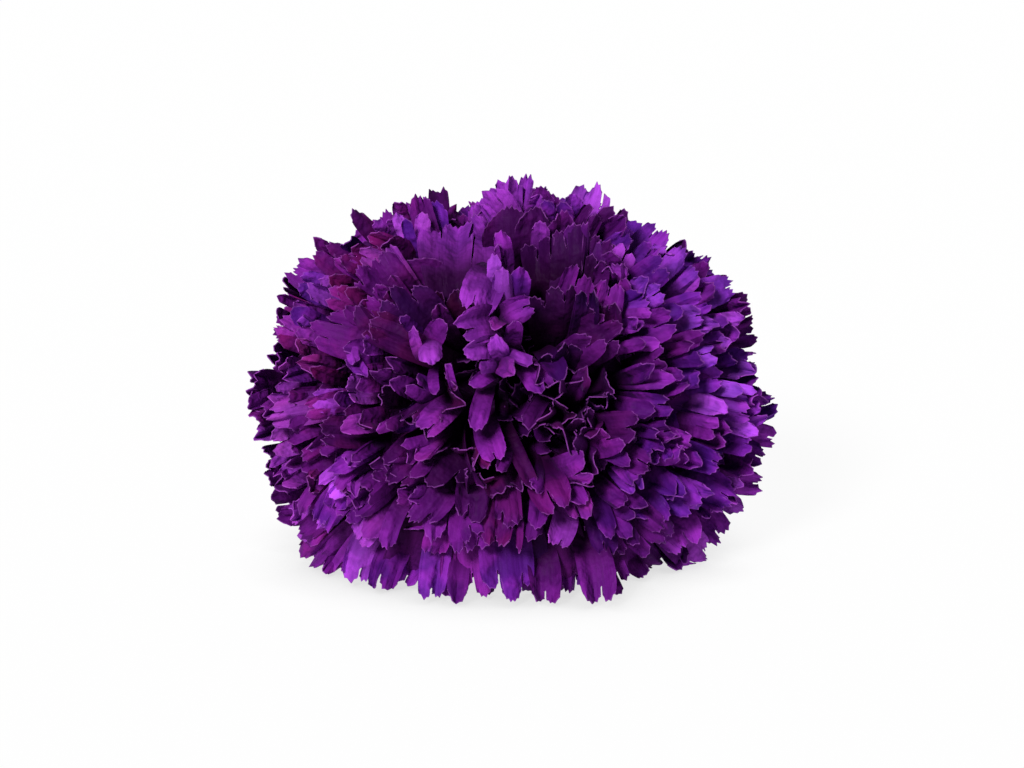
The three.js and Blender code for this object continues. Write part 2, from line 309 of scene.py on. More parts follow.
def petalMaterial():
    # the tint holds hue, brightness (which carries the painted light and shade set for each petal) and mm
    # from the margin; the map holds the place across and along
    look = petalLook
    material, tree, shader = newMaterial("petal velvet")
    uv = shaderNode(tree, "ShaderNodeUVMap", uv_map="petalMap").outputs[0]
    along = shaderNode(tree, "ShaderNodeSeparateXYZ", {0: uv}).outputs[1]
    tint = shaderNode(tree, "ShaderNodeAttribute", attribute_name="tint").outputs["Color"]
    hue, bright, margin = shaderNode(tree, "ShaderNodeSeparateColor", {0: tint}).outputs
    veins = shaderNode(tree, "ShaderNodeGroup", {"Map": uv, "Stretch": look["veins"]}, node_tree=veinGroup)
    mottle = shaderNode(tree, "ShaderNodeGroup", {"Size": look["cloudSize"]}, node_tree=mottleGroup)
    clouds = mottle.outputs["Mottle"]
    shift = ramp(tree, clouds, 0, 1, -look["cloudHue"], look["cloudHue"])
    hue = mathNode(tree, "ADD", hue, shift, True)
    limb = mixColour(tree, ramp(tree, hue, 0.0, 0.5), look["blueViolet"], look["violet"])
    limb = mixColour(tree, ramp(tree, hue, 0.5, 1.0), limb, look["wine"])
    cloudy = ramp(tree, clouds, 0, 1, *look["cloudTone"])
    lit = mathNode(tree, "MULTIPLY", mathNode(tree, "MULTIPLY", bright, 2.0), cloudy)
    # painted sheen: brighter petals are mixed towards a paler colour
    sheenPale = ramp(tree, bright, *look["sheenPaleFrom"], 0.0, look["sheenPaleShare"])
    limb = mixColour(tree, sheenPale, limb, look["sheenPale"])
    tone = shaderNode(tree, "ShaderNodeCombineXYZ", {0: lit, 1: lit, 2: lit})
    limb = mixColour(tree, 1.0, limb, tone.outputs[0], "MULTIPLY")
    veined = mathNode(tree, "MULTIPLY", veins.outputs["Veins"], look["veinShare"])
    limb = mixColour(tree, veined, limb, look["throatAndShade"])
    # painted shade towards the claw, over the petal's own deeper colour there
    deep = ramp(tree, along, *look["throatShadeEnds"], look["throatShadeShare"], 0.0)
    limb = mixColour(tree, deep, limb, look["throatAndShade"])
    # painted highlight along the margin
    rim = ramp(tree, margin, *look["edgeHighlightEnds"], look["edgeHighlightShare"], 0.0)
    limb = mixColour(tree, rim, limb, look["edge"])
    fineVeins = mathNode(tree, "MULTIPLY", veins.outputs["Veins"], 0.4)
    height = mathNode(tree, "ADD", fineVeins, mottle.outputs["Grain"])
    feed(tree, shader, {
        "Base Color": limb,
        "Roughness": ramp(tree, clouds, 0, 1, *look["roughness"]),
        "Normal": bumpNode(tree, height, 0.35, 0.0001, bumpNode(tree, clouds, 1.0, look["crumple"])),
        "Specular IOR Level": 0.03,
        "Sheen Weight": 0.03,
        "Sheen Roughness": 0.4,
        "Sheen Tint": (0.6, 0.2, 0.9),
    })
    return material


def greenMaterial(name, light, dark, veinDepth):
    # waxy green with lengthwise veins; the pattern is turned to run along the flower's axis
    material, tree, shader = newMaterial(name)
    coordinates = shaderNode(tree, "ShaderNodeTexCoord")
    turn = shaderNode(tree, "ShaderNodeMapping", {"Vector": coordinates.outputs["Object"]})
    turn.inputs["Rotation"].default_value[0] = math.radians(bloomForm["faceTilt"] - 90)
    run = {"Map": turn.outputs[0], "Stretch": (1500.0, 1500.0, 22.0)}
    veins = shaderNode(tree, "ShaderNodeGroup", run, node_tree=veinGroup)
    mottle = shaderNode(tree, "ShaderNodeGroup", {"Size": 110.0}, node_tree=mottleGroup)
    green = mixColour(tree, mathNode(tree, "MULTIPLY", mottle.outputs["Mottle"], 0.45), light, dark)
    green = mixColour(tree, mathNode(tree, "MULTIPLY", veins.outputs["Veins"], veinDepth), green, dark)
    speck = ramp(tree, mottle.outputs["Grain"], 0.56, 0.72, 0.0, 0.25)
    green = mixColour(tree, speck, green, tuple(min(1.6 * c, 1.0) for c in light))
    fineGrain = mathNode(tree, "MULTIPLY", mottle.outputs["Grain"], 0.4)
    height = mathNode(tree, "ADD", veins.outputs["Veins"], fineGrain)
    feed(tree, shader, {
        "Base Color": green,
        "Roughness": ramp(tree, mottle.outputs["Mottle"], 0, 1, 0.42, 0.6),
        "Normal": bumpNode(tree, height, 0.4, 0.00015),
        "Specular IOR Level": 0.4,
    })
    return material


petalVelvet = petalMaterial()
calyxGreen = greenMaterial("calyx green", (0.21, 0.34, 0.13), (0.085, 0.18, 0.055), 0.75)
bractGreen = greenMaterial("bract green", (0.27, 0.38, 0.16), (0.12, 0.22, 0.07), 0.75)
stemGreen = greenMaterial("stem green", (0.27, 0.40, 0.21), (0.14, 0.25, 0.10), 0.45)
cutPith = greenMaterial("cut pith", (0.55, 0.60, 0.36), (0.38, 0.46, 0.22), 0.3)
print("materials made")

# How the petals grow. Lengths are in mm.
petalRule = {
    "count": 480,
    "seed": 5,
    "lastAngle": 121.0,  # degrees from the axis at which the outermost claws leave the heart
    "goldenAngle": 137.50776,
    "toothPitch": 1.0,
    "mostColumns": 47,  # a column for each tip and notch along the margin
    "clawRows": 3,
    "limbShares": [0.26, 0.48, 0.66, 0.8, 0.9, 0.96, 0.985, 1.0],
    "thick": 0.2,
    "clawHalf": 1.2,
    "mouthRadius": 7.4,  # the claws stand together in the calyx's mouth
    "mouthDepth": 9.0,
    "whorlSize": 82,  # petals in one piece
    "firstSeed": 1000,
    "limb": (12.0, 17.5),  # how long the broad part of a petal is
    "clock": 6,  # degrees that its root stands off its place round the axis, either way
    "sway": 5,  # and its tip
    "heartLean": (-4, 12),  # degrees that petals lean outward in the middle of the face
    "lean": (14, 4),  # and outside it, with the spread
    "heartBend": (-25, 60),  # degrees that their margins bend outward, there
    "bend": (8, 58),  # and outside
    "bendSpread": 15,
    "short": 0.14,  # how far a tip may stay behind the reach, as a share of it
    "heartShare": (0.76, 1.0),  # and where tips stand in the middle
    "halfWidth": (7.2, 10.4),
    "broadAt": 0.86,
    "tipNarrower": 0.22,
    "lobes": [2, 3, 3, 4, 4, 5, 5],
    "slit": (1.6, 4.4),
    "shoulder": 3.9,
    "tooth": (0.45, 0.75),
    "ruffle": (0.9, 2.2),
    "waves": (2.2, 4.8),
    "cup": (-0.02, 0.035),
    "part": (0.4, 1.4),
    "hue": (0.40, 0.11),  # in the middle, and its spread
    "tone": (0.34, 0.34),
    "bluer": 0.0045,  # for each mm further to the right
}

# How a margin is cut: the range that each lobe, slit and tooth is drawn from.
marginRule = {
    "lobeWidth": (0.7, 1.3),
    "outerLobe": 0.8,
    "lobeHeight": (0.9, 1.02),
    "slit": (0.5, 1.3),
    "round": (0.75, 1.35),
    "toothShift": 0.28,
    "bite": (0.35, 1.15),
    "lobeShare": 0.94,
}


def petalBlank(columns):
    # a flat sheet with a column for each tip and notch, which every petal is shaped from
    rows = petalRule["clawRows"] + len(petalRule["limbShares"])
    deselect()
    bpy.ops.mesh.primitive_grid_add(
        x_subdivisions=columns - 1, y_subdivisions=rows - 1, size=1, calc_uvs=True
    )
    blank = bpy.context.object
    blank.name = "petalBlank"
    blank.data.uv_layers[0].name = "petalMap"
    blank.data.attributes.new("tint", "FLOAT_COLOR", "POINT")
    flat = placeOf(blank)
    column = np.rint((flat[:, 0] + 0.5) * (columns - 1)).astype(int)
    row = np.rint((flat[:, 1] + 0.5) * (rows - 1)).astype(int)
    corner = np.empty(len(blank.data.loops), dtype=int)
    blank.data.loops.foreach_get("vertex_index", corner)
    return blank, column, row, corner


def cutMargin(petal, length, rng):
    # where each column lies across the petal and how far it goes, and the lobe and slit beside it
    f = marginRule
    lobes = petal["lobes"]
    widths = rng.uniform(*f["lobeWidth"], lobes)
    if lobes > 2:
        widths[[0, -1]] *= f["outerLobe"]
    widths /= widths.sum()
    edges = np.concatenate([[0], np.cumsum(widths)]) * 2 - 1
    teethLeft = (columnsOf(petal) + 1) // 2 - lobes
    teeth = np.maximum(1, np.floor(widths * teethLeft)).astype(int)
    while teeth.sum() < teethLeft:
        teeth[np.argmax(widths - teeth / teethLeft)] += 1
    while teeth.sum() > teethLeft:
        teeth[np.argmax(teeth)] -= 1
    tall = np.array([1 - 0.2 * ((edges[i] + edges[i + 1]) / 2) ** 2 for i in range(lobes)])
    tall *= rng.uniform(*f["lobeHeight"], lobes)
    tall /= tall.max()
    depth = petal["slit"] * rng.uniform(*f["slit"], max(lobes - 1, 1))
    across, far, lobe, base = [], [], [], []
    for i in range(lobes):
        mid, half = (edges[i] + edges[i + 1]) / 2, (edges[i + 1] - edges[i]) / 2
        count = 2 * teeth[i] + 1
        angle = np.linspace(-1, 1, count)
        angle[1:-1] += rng.uniform(-f["toothShift"], f["toothShift"], count - 2) / count
        angle *= math.pi / 2
        s = np.sin(angle)
        before = depth[i - 1] if i > 0 else petal["shoulder"]
        after = depth[i] if i < lobes - 1 else petal["shoulder"]
        beside = np.where(s < 0, before, after)
        # a lobe's end is round, with as many teeth down its sides as across it
        drop = np.minimum(beside, rng.uniform(*f["round"]) * half * petal["halfWidth"])
        body = tall[i] - drop * (1 - np.cos(angle)) / length
        upDown = np.where(np.arange(count) % 2 == 1, 0.5, -0.5)
        bite = petal["tooth"] * rng.uniform(*f["bite"], count) * upDown
        bite[[0, -1]] = -petal["tooth"] * 0.8
        inward = np.minimum(bite, 0) * s * np.abs(s) / petal["halfWidth"]
        for k in range(count):
            across.append(mid + s[k] * half * f["lobeShare"] + inward[k])
            far.append(body[k] + bite[k] * max(math.cos(angle[k]), 0.4) / length)
            lobe.append(i)
            base.append(1 - beside[k] / length)
        if i < lobes - 1:
            across.append(edges[i + 1])
            far.append(min(tall[i], tall[i + 1]) - (depth[i] + petal["tooth"]) / length)
            lobe.append(-1)
            base.append(1.0)
    return np.array(across), np.array(far), np.array(lobe), np.array(base)


def bezier(points, t):
    t = np.asarray(t)[..., None]
    p = [np.asarray(q) for q in points]
    s = 1 - t
    place = s ** 3 * p[0] + 3 * s ** 2 * t * p[1] + 3 * s * t ** 2 * p[2] + t ** 3 * p[3]
    way = 3 * s ** 2 * (p[1] - p[0]) + 6 * s * t * (p[2] - p[1]) + 3 * t ** 2 * (p[3] - p[2])
    return place, way / np.linalg.norm(way, axis=-1, keepdims=True)


def fromMargin(flat, outline):
    # how far each point of the flat petal lies from its outline
    start, end = outline[:-1], outline[1:]
    run = end - start
    off = flat[:, None] - start[None]
    t = np.clip((off * run).sum(-1) / np.maximum((run * run).sum(-1), 1e-9), 0, 1)
    return np.linalg.norm(off - t[..., None] * run, axis=-1).min(1)


def columnsOf(petal):
    # a wide petal has more teeth than a narrow one
    teeth = max(round(2.5 * petal["halfWidth"] / petalRule["toothPitch"]), petal["lobes"] * 2)
    return min(2 * (petal["lobes"] + teeth) - 1, petalRule["mostColumns"])


def widthAt(petal, share):
    # half the petal's width at a share of its length: narrow at the root, broad, then a little narrower
    broadAt = petal["broadAt"]
    spread = np.sin(np.clip(share / broadAt, 0, 1) * np.pi / 2) ** 0.8
    spread *= 1 - petal["tipNarrower"] * np.clip((share - broadAt) / (1 - broadAt), 0, 1) ** 2
    return petal["rootHalf"] + (petal["halfWidth"] - petal["rootHalf"]) * spread


def petalPoints(petal, column, row):
    # the place of every point of one petal, in mm, with its map and its distance from the margin
    rng = np.random.default_rng(petal["seed"])
    root, tip = petal["root"], petal["tip"]
    chord = np.linalg.norm(tip - root)
    path = [root, root + petal["leave"] * chord * 0.36, tip - petal["end"] * chord * 0.36, tip]
    fine, _ = bezier(path, np.linspace(0, 1, 12))
    length = np.linalg.norm(np.diff(fine, axis=0), axis=1).sum()
    across, far, lobe, base = cutMargin(petal, length, rng)
    u, m, lobeAt, slitAt = across[column], far[column], lobe[column], base[column]
    clawRows = petalRule["clawRows"]
    shares = np.concatenate([np.zeros(clawRows), petalRule["limbShares"]])
    share = shares[row] * m
    x = u * widthAt(petal, share)
    roundness = min(0.5 * (petal["halfWidth"] / length) ** 2, 0.24)
    t = share * (1 - roundness * u * u)
    flat = np.stack([x, t * length], axis=-1)
    edge = [across * widthAt(petal, far), far * (1 - roundness * across ** 2) * length]
    margin = fromMargin(flat, np.stack(edge, axis=-1))
    margin[row == row.max()] = 0
    # out of the plane: waves, cup, fold, a curl of the margin, and lobes that part from each other
    waves, phase = petal["waves"], petal["phase"]
    wave = np.sin(waves * u + phase) + 0.45 * np.sin(2.3 * waves * u + phase * 2.7)
    wave = petal["ruffle"] * share ** 1.8 * wave
    lobeLift = np.append(rng.uniform(-1, 1, petal["lobes"]) * petal["part"], 0)
    lobeTilt = np.append(rng.uniform(-1, 1, petal["lobes"]) * petal["part"] * 1.2, 0)
    free = np.clip((share - slitAt * 0.92) / 0.3, 0, 1.4)
    mids = np.zeros(petal["lobes"] + 1)
    for i in range(petal["lobes"]):
        mids[i] = across[lobe == i].mean()
    lift = free * (lobeLift[lobeAt] + lobeTilt[lobeAt] * (u - mids[lobeAt]) * petal["lobes"])
    frill = 0.14 * np.where(column % 2 == 1, 1, -1) * smooth(0.9, 1.0, shares[row])
    curl = petal["curl"] * np.clip((share - 0.7) / 0.3, 0, 1.2) ** 2
    z = wave + petal["cup"] * x * x + petal["fold"] * np.sqrt(x * x + 0.6) * share + lift + frill + curl
    place, way = bezier(path, t)
    side = petal["side"] - (way @ petal["side"])[:, None] * way
    side /= np.linalg.norm(side, axis=1, keepdims=True)
    up = np.cross(way, side)
    turn = petal["twist"] * np.clip(share, 0, 1)
    across3 = side * np.cos(turn)[:, None] + up * np.sin(turn)[:, None]
    up3 = np.cross(way, across3)
    points = place + across3 * x[:, None] + up3 * z[:, None]
    # the claw, from inside the calyx up to the root of the limb
    clawPath = [petal["claw"], petal["mouth"], root - petal["leave"] * 4.0, root]
    inClaw = row < clawRows
    along = row[inClaw] / clawRows
    place, way = bezier(clawPath, along)
    side = petal["side"] - (way @ petal["side"])[:, None] * way
    side /= np.linalg.norm(side, axis=1, keepdims=True)
    clawHalf = petalRule["clawHalf"] * (0.55 + 0.45 * along)
    points[inClaw] = place + side * (u[inClaw] * clawHalf)[:, None]
    margin[inClaw] = 1.0
    # petals that meet the surface lie down on it
    low = bloomForm["lowest"]
    under = points[:, 2] < low + 1.0
    points[under, 2] = low + np.exp(np.clip(points[under, 2] - low - 1.0, -20, 0)) * 1.0
    # the value along is stretched so that the painted throat shade starts sooner on the broad petals
    return points, np.stack([x / 20, 1 - (1 - share) * petal["shadeStretch"]], axis=-1), margin


def clawOf(share, clock):
    # where a petal's claw stands in the calyx, and where it leaves the mouth
    c, r = math.radians(clock), petalRule["mouthRadius"] * math.sqrt(share)
    foot = np.array([0.8 * r * math.cos(c), 0.8 * r * math.sin(c), -petalRule["mouthDepth"]])
    mouth = np.array([r * math.cos(c), r * math.sin(c), 2.5])
    return bloomForm["heart"] + flowerAxes @ foot, bloomForm["heart"] + flowerAxes @ mouth


petalHues = {"blue": 0.10, "indigo": 0.27, "violet": 0.42, "magenta": 0.58, "wine": 0.74}
petalTones = {"deep": 0.12, "dark": 0.21, "mid": 0.33, "bright": 0.52, "light": 0.80}


def shown(outX, outY, tipX, tipY, width, lobes, tint, more=None):
    # a petal by the pixels of the picture where it comes out from under its neighbours and where the
    # middle of its margin is, and by its width there in pixels
    plain = {
        "low": 0.87,  # its share of the reach where it comes out
        "high": 1.0,  # and at its margin
        "turn": 0,  # degrees away from the camera
        "slit": None,  # the depth of its slits as a share of a lobe's width
        "ruffle": None,  # the height of its waves in mm
        "fan": False,  # whether it widens all the way to its margin
    }
    place = {"out": (outX, outY), "tip": (tipX, tipY), "width": width, "lobes": lobes, "tint": tint}
    return {**plain, **place, **(more or {})}


# The petals that stand out from the front, read off the picture one by one.
shownPetals = {
    "left shoulder": [
        (374, 234, 351, 213, 15, 2, "deep magenta"), (392, 236, 378, 216, 19, 3, "mid violet"),
        (404, 240, 396, 212, 11, 2, "light magenta"), (397, 254, 368, 241, 26, 3, "dark wine"),
        (376, 264, 341, 254, 26, 3, "dark wine"), (346, 269, 318, 248, 27, 3, "dark magenta"),
        (357, 252, 345, 239, 15, 2, "dark blue"), (326, 286, 292, 267, 28, 3, "mid violet"),
        (327, 294, 299, 277, 25, 2, "mid blue"), (300, 290, 282, 281, 13, 2, "deep violet"),
        (303, 307, 277, 296, 9, 1, "dark magenta"), (294, 323, 277, 311, 9, 1, "deep violet"),
        (353, 291, 329, 277, 17, 2, "dark wine"), (364, 309, 327, 294, 21, 3, "mid magenta"),
        (372, 306, 346, 289, 13, 2, "dark wine"),
        (394, 348, 311, 325, 40, 3, "dark magenta", dict(slit=0.8)),
        (392, 340, 362, 302, 34, 2, "dark magenta"), (388, 300, 358, 268, 34, 3, "dark violet"),
        (409, 284, 388, 246, 13, 1, "bright wine"), (402, 292, 378, 255, 26, 2, "dark magenta"),
        (430, 338, 392, 288, 54, 3, "deep indigo", dict(slit=0.7)),
        (410, 337, 388, 304, 13, 2, "mid blue"), (313, 324, 291, 309, 18, 3, "dark blue"),
        (311, 337, 279, 322, 22, 4, "mid magenta"), (308, 347, 278, 336, 16, 3, "dark wine"),
        (330, 262, 322, 243, 12, 2, "dark magenta"),
    ],
    "top": [
        (513, 210, 512, 178, 16, 1, "bright violet"), (519, 210, 528, 177, 12, 1, "bright violet"),
        (507, 208, 499, 180, 10, 1, "bright violet"), (504, 212, 491, 189, 11, 1, "bright violet"),
        (505, 220, 482, 194, 40, 4, "bright violet", dict(slit=1.0)),
        (494, 232, 476, 209, 24, 3, "bright violet"), (531, 214, 541, 192, 14, 2, "bright violet"),
        (512, 252, 509, 207, 50, 1, "deep magenta", dict(low=0.78, high=0.98)),
        (538, 248, 535, 208, 38, 1, "deep magenta", dict(low=0.78, high=0.98)),
        (563, 240, 562, 211, 30, 1, "dark magenta"), (560, 222, 552, 196, 30, 2, "mid indigo"),
        (572, 222, 573, 194, 18, 2, "mid indigo"),
        (455, 292, 459, 224, 80, 3, "bright violet", dict(low=0.93, high=1.02, slit=1.25, fan=True)),
        (428, 240, 418, 197, 18, 1, "dark magenta"), (440, 240, 438, 188, 17, 1, "deep magenta"),
        (436, 234, 438, 205, 15, 2, "mid blue"), (418, 236, 425, 212, 13, 2, "bright magenta"),
        (411, 248, 405, 219, 10, 1, "dark blue"), (449, 240, 456, 212, 14, 2, "dark magenta"),
        (400, 222, 399, 199, 13, 2, "dark magenta"),
        (560, 294, 560, 226, 72, 5, "deep violet", dict(low=0.84, slit=1.3, ruffle=1.7, fan=True)),
        (541, 250, 540, 221, 15, 1, "bright magenta"),
        (505, 266, 505, 232, 15, 2, "bright violet", dict(low=0.88, turn=25)),
        (500, 268, 496, 244, 11, 1, "bright violet", dict(turn=25)),
        (562, 334, 563, 285, 66, 5, "deep indigo",
         dict(low=0.82, high=0.98, slit=0.5, ruffle=1.5, fan=True)),
        (585, 338, 588, 290, 22, 2, "deep indigo"),
        (446, 334, 448, 290, 44, 2, "deep wine", dict(low=0.72, high=0.9)),
        (447, 332, 436, 305, 15, 2, "mid magenta"), (425, 344, 446, 321, 19, 2, "bright violet"),
    ],
    "crest": [
        (492, 260, 474, 312, 34, 3, "light violet", dict(low=0.98, high=1.05)),
        (492, 296, 495, 256, 12, 2, "light violet", dict(low=0.92, high=1.02)),
        (503, 308, 502, 268, 17, 2, "light violet", dict(low=0.92, high=1.02)),
        (517, 297, 522, 267, 19, 2, "bright indigo", dict(low=0.9)),
        (494, 318, 458, 330, 31, 3, "light violet", dict(low=0.98, high=1.05)),
        (501, 314, 532, 304, 23, 2, "light violet", dict(low=0.98, high=1.03)),
        (500, 316, 491, 331, 13, 1, "light magenta", dict(low=0.98, high=1.03)),
        (512, 342, 516, 322, 15, 1, "mid indigo", dict(low=0.9)),
        (494, 352, 465, 358, 31, 3, "light violet", dict(low=0.97, high=1.04)),
        (488, 374, 474, 385, 13, 1, "bright violet", dict(low=0.96, high=1.02)),
        (501, 364, 496, 335, 17, 2, "light violet", dict(low=0.92, high=1.02)),
        (499, 361, 517, 374, 18, 2, "light magenta", dict(low=0.96, high=1.02)),
        (506, 351, 531, 364, 11, 1, "light violet", dict(low=0.96, high=1.02)),
        (525, 365, 541, 393, 17, 2, "bright violet", dict(low=0.92)),
        (533, 360, 553, 386, 8, 1, "bright violet", dict(low=0.94)),
        (549, 350, 562, 382, 19, 2, "dark indigo", dict(low=0.88, high=0.98)),
        (484, 390, 475, 430, 16, 2, "bright violet", dict(low=0.94, high=1.02)),
        (416, 360, 414, 327, 10, 1, "light magenta", dict(low=0.92)),
        (424, 336, 433, 368, 19, 2, "light violet", dict(low=0.96, high=1.02)),
        (428, 366, 436, 396, 9, 1, "bright violet", dict(low=0.94)),
        (453, 396, 449, 362, 8, 1, "bright violet", dict(low=0.92)),
    ],
    "heart": [
        (561, 398, 571, 398, 62, 3, "dark magenta", dict(low=0.74, high=0.99, ruffle=2.2)),
        (556, 410, 545, 411, 42, 3, "dark magenta", dict(low=0.74, high=0.98, ruffle=1.6)),
        (567, 430, 567, 442, 68, 3, "mid magenta", dict(low=0.76, high=0.99, ruffle=2.4)),
        (548, 378, 540, 390, 40, 2, "mid magenta", dict(low=0.76, ruffle=1.5)),
        (440, 402, 450, 402, 62, 3, "dark magenta", dict(low=0.74, high=0.98, ruffle=1.8)),
        (470, 468, 478, 458, 46, 3, "mid wine", dict(low=0.76, ruffle=2.0)),
        (596, 398, 603, 402, 56, 3, "deep violet", dict(low=0.76, high=0.98, ruffle=2.0)),
        (505, 478, 511, 488, 44, 2, "dark magenta", dict(low=0.76, high=0.99, ruffle=1.6)),
        (586, 470, 592, 476, 40, 2, "dark violet", dict(low=0.78, ruffle=1.4)),
        (430, 424, 424, 434, 50, 3, "dark magenta", dict(low=0.76, high=0.98, ruffle=2.0)),
        (560, 376, 562, 341, 38, 3, "deep indigo", dict(low=0.82, high=0.97)),
        (575, 402, 584, 372, 16, 2, "mid magenta", dict(low=0.88)),
        (552, 393, 525, 426, 15, 2, "dark violet", dict(low=0.84, high=0.96, turn=40)),
        (483, 428, 497, 461, 23, 3, "light violet", dict(low=0.94, high=1.02)),
        (509, 451, 499, 472, 12, 1, "mid violet", dict(low=0.92)),
        (477, 453, 490, 467, 13, 1, "bright wine", dict(low=0.94)),
        (462, 443, 486, 487, 12, 2, "mid magenta", dict(low=0.88, turn=55)),
        (446, 406, 421, 432, 23, 3, "light violet", dict(low=0.92, high=1.02)),
        (437, 440, 402, 445, 10, 1, "bright violet", dict(low=0.92)),
        (434, 440, 418, 460, 15, 2, "light magenta", dict(low=0.92, high=1.02)),
        (457, 448, 428, 484, 46, 4, "deep violet", dict(low=0.86, slit=0.6)),
        (450, 396, 404, 424, 20, 2, "dark magenta", dict(low=0.86, turn=25)),
        (433, 398, 408, 381, 22, 2, "mid indigo", dict(low=0.88)),
        (510, 440, 534, 488, 13, 2, "dark magenta", dict(low=0.9, high=0.99)),
        (545, 478, 529, 494, 15, 1, "bright violet", dict(low=0.94, high=1.02)),
        (561, 482, 589, 462, 31, 3, "light magenta", dict(low=0.94, high=1.03)),
        (573, 478, 589, 501, 28, 3, "bright violet", dict(low=0.94, high=1.02)),
        (546, 484, 560, 511, 34, 3, "bright magenta", dict(low=0.95, high=1.04)),
        (574, 496, 584, 519, 24, 2, "light magenta", dict(low=0.94, high=1.02)),
        (571, 518, 555, 546, 22, 3, "light magenta", dict(low=0.94, high=1.03)),
        (556, 540, 548, 561, 13, 2, "bright magenta", dict(low=0.92)),
        (603, 404, 600, 396, 26, 3, "deep blue", dict(low=0.8, high=0.9)),
        (570, 440, 585, 412, 24, 2, "deep violet", dict(low=0.84, high=0.98, turn=50)),
        (598, 432, 580, 424, 20, 2, "deep violet", dict(low=0.84, high=0.96)),
        (470, 500, 462, 462, 20, 2, "dark magenta", dict(low=0.84, high=0.97, turn=50)),
        (592, 450, 566, 432, 30, 3, "dark violet", dict(low=0.84, high=0.97, turn=30)),
    ],
    "right shoulder": [
        (586, 218, 596, 187, 34, 3, "bright violet"), (602, 232, 622, 206, 24, 2, "deep magenta"),
        (604, 234, 625, 217, 18, 2, "dark magenta"), (580, 234, 596, 207, 22, 2, "deep magenta"),
        (576, 296, 583, 229, 44, 4, "dark violet"), (592, 276, 603, 237, 22, 2, "deep magenta"),
        (604, 252, 631, 235, 18, 3, "mid indigo"),
        (634, 258, 662, 227, 26, 2, "mid indigo", dict(low=0.84)),
        (650, 272, 679, 246, 31, 3, "bright indigo"), (672, 257, 688, 243, 14, 2, "deep violet"),
        (681, 277, 706, 254, 21, 2, "dark indigo"), (688, 282, 709, 263, 15, 2, "dark magenta"),
        (705, 297, 722, 273, 19, 2, "deep magenta"), (685, 301, 728, 286, 25, 3, "bright indigo"),
        (728, 311, 745, 295, 15, 2, "deep magenta"), (725, 323, 754, 312, 19, 2, "deep magenta"),
        (727, 336, 757, 334, 21, 2, "deep violet"), (669, 319, 703, 314, 21, 3, "bright indigo"),
        (699, 329, 729, 325, 23, 3, "mid violet"), (619, 270, 627, 247, 21, 4, "bright magenta"),
        (612, 277, 609, 252, 19, 2, "dark violet"), (622, 292, 617, 263, 15, 2, "bright magenta"),
        (604, 324, 611, 281, 29, 3, "bright magenta"), (631, 297, 648, 277, 17, 2, "bright indigo"),
        (632, 307, 663, 291, 20, 3, "bright indigo"), (629, 336, 675, 320, 29, 3, "mid violet"),
        (583, 346, 621, 324, 42, 3, "dark magenta"), (627, 326, 641, 317, 13, 1, "bright indigo"),
        (629, 342, 660, 345, 12, 2, "bright violet"), (674, 347, 703, 334, 16, 2, "dark magenta"),
        (711, 346, 733, 341, 15, 2, "bright violet"), (684, 363, 715, 353, 21, 3, "bright indigo"),
        (724, 363, 746, 354, 17, 2, "mid indigo"), (645, 368, 668, 352, 22, 2, "dark violet"),
    ],
    "right": [
        (743, 413, 775, 403, 25, 3, "dark indigo"), (733, 428, 774, 438, 19, 2, "mid violet"),
        (735, 447, 763, 458, 22, 3, "deep indigo"), (729, 482, 761, 484, 21, 3, "mid magenta"),
        (725, 498, 742, 511, 17, 2, "bright magenta"), (702, 510, 723, 539, 27, 3, "mid violet"),
        (671, 530, 703, 561, 35, 4, "bright magenta"), (669, 540, 684, 571, 22, 2, "dark violet"),
        (647, 487, 668, 519, 48, 3, "mid indigo"), (667, 489, 696, 509, 30, 2, "mid indigo"),
        (627, 472, 639, 493, 22, 2, "bright indigo"), (694, 479, 731, 501, 32, 3, "dark indigo"),
        (667, 436, 692, 441, 15, 1, "mid magenta"), (707, 425, 732, 429, 14, 1, "dark magenta"),
        (704, 438, 727, 442, 15, 1, "dark magenta"), (649, 436, 671, 430, 20, 2, "dark violet"),
        (599, 433, 643, 425, 28, 2, "dark magenta"), (638, 405, 673, 405, 20, 3, "mid violet"),
        (653, 441, 664, 463, 22, 2, "mid indigo"), (664, 456, 690, 452, 20, 3, "mid violet"),
        (715, 404, 751, 414, 20, 3, "mid violet"), (721, 392, 755, 398, 20, 3, "bright indigo"),
        (733, 378, 760, 376, 20, 2, "dark violet"), (745, 396, 768, 396, 16, 2, "dark violet"),
        (690, 382, 722, 378, 22, 3, "mid indigo"), (655, 385, 690, 380, 24, 3, "dark violet"),
        (735, 462, 752, 471, 18, 2, "dark violet"), (690, 455, 720, 465, 22, 3, "dark indigo"),
        (620, 452, 650, 468, 22, 2, "dark violet"), (615, 500, 640, 512, 24, 3, "dark violet"),
    ],
    "foot": [
        (331, 497, 322, 527, 25, 3, "mid indigo"), (347, 468, 323, 487, 20, 2, "bright indigo"),
        (346, 481, 330, 497, 16, 2, "light violet"), (319, 505, 295, 528, 25, 3, "bright magenta"),
        (315, 529, 297, 539, 12, 2, "bright magenta"), (322, 516, 303, 534, 18, 2, "dark violet"),
        (317, 536, 303, 554, 16, 2, "mid magenta"), (341, 538, 315, 565, 18, 2, "mid violet"),
        (346, 540, 329, 562, 15, 2, "mid indigo"), (338, 558, 325, 574, 15, 2, "dark violet"),
        (357, 543, 338, 572, 19, 2, "mid violet"), (363, 538, 354, 582, 27, 3, "bright violet"),
        (369, 525, 356, 543, 24, 3, "bright magenta"), (386, 560, 379, 591, 27, 2, "dark indigo"),
        (386, 530, 379, 562, 20, 2, "mid violet"), (403, 546, 393, 576, 27, 3, "bright violet"),
        (419, 553, 404, 585, 20, 3, "mid indigo"),
        (436, 494, 414, 520, 37, 3, "mid violet", dict(low=0.84)),
        (434, 546, 431, 599, 24, 2, "mid indigo", dict(slit=0.3)),
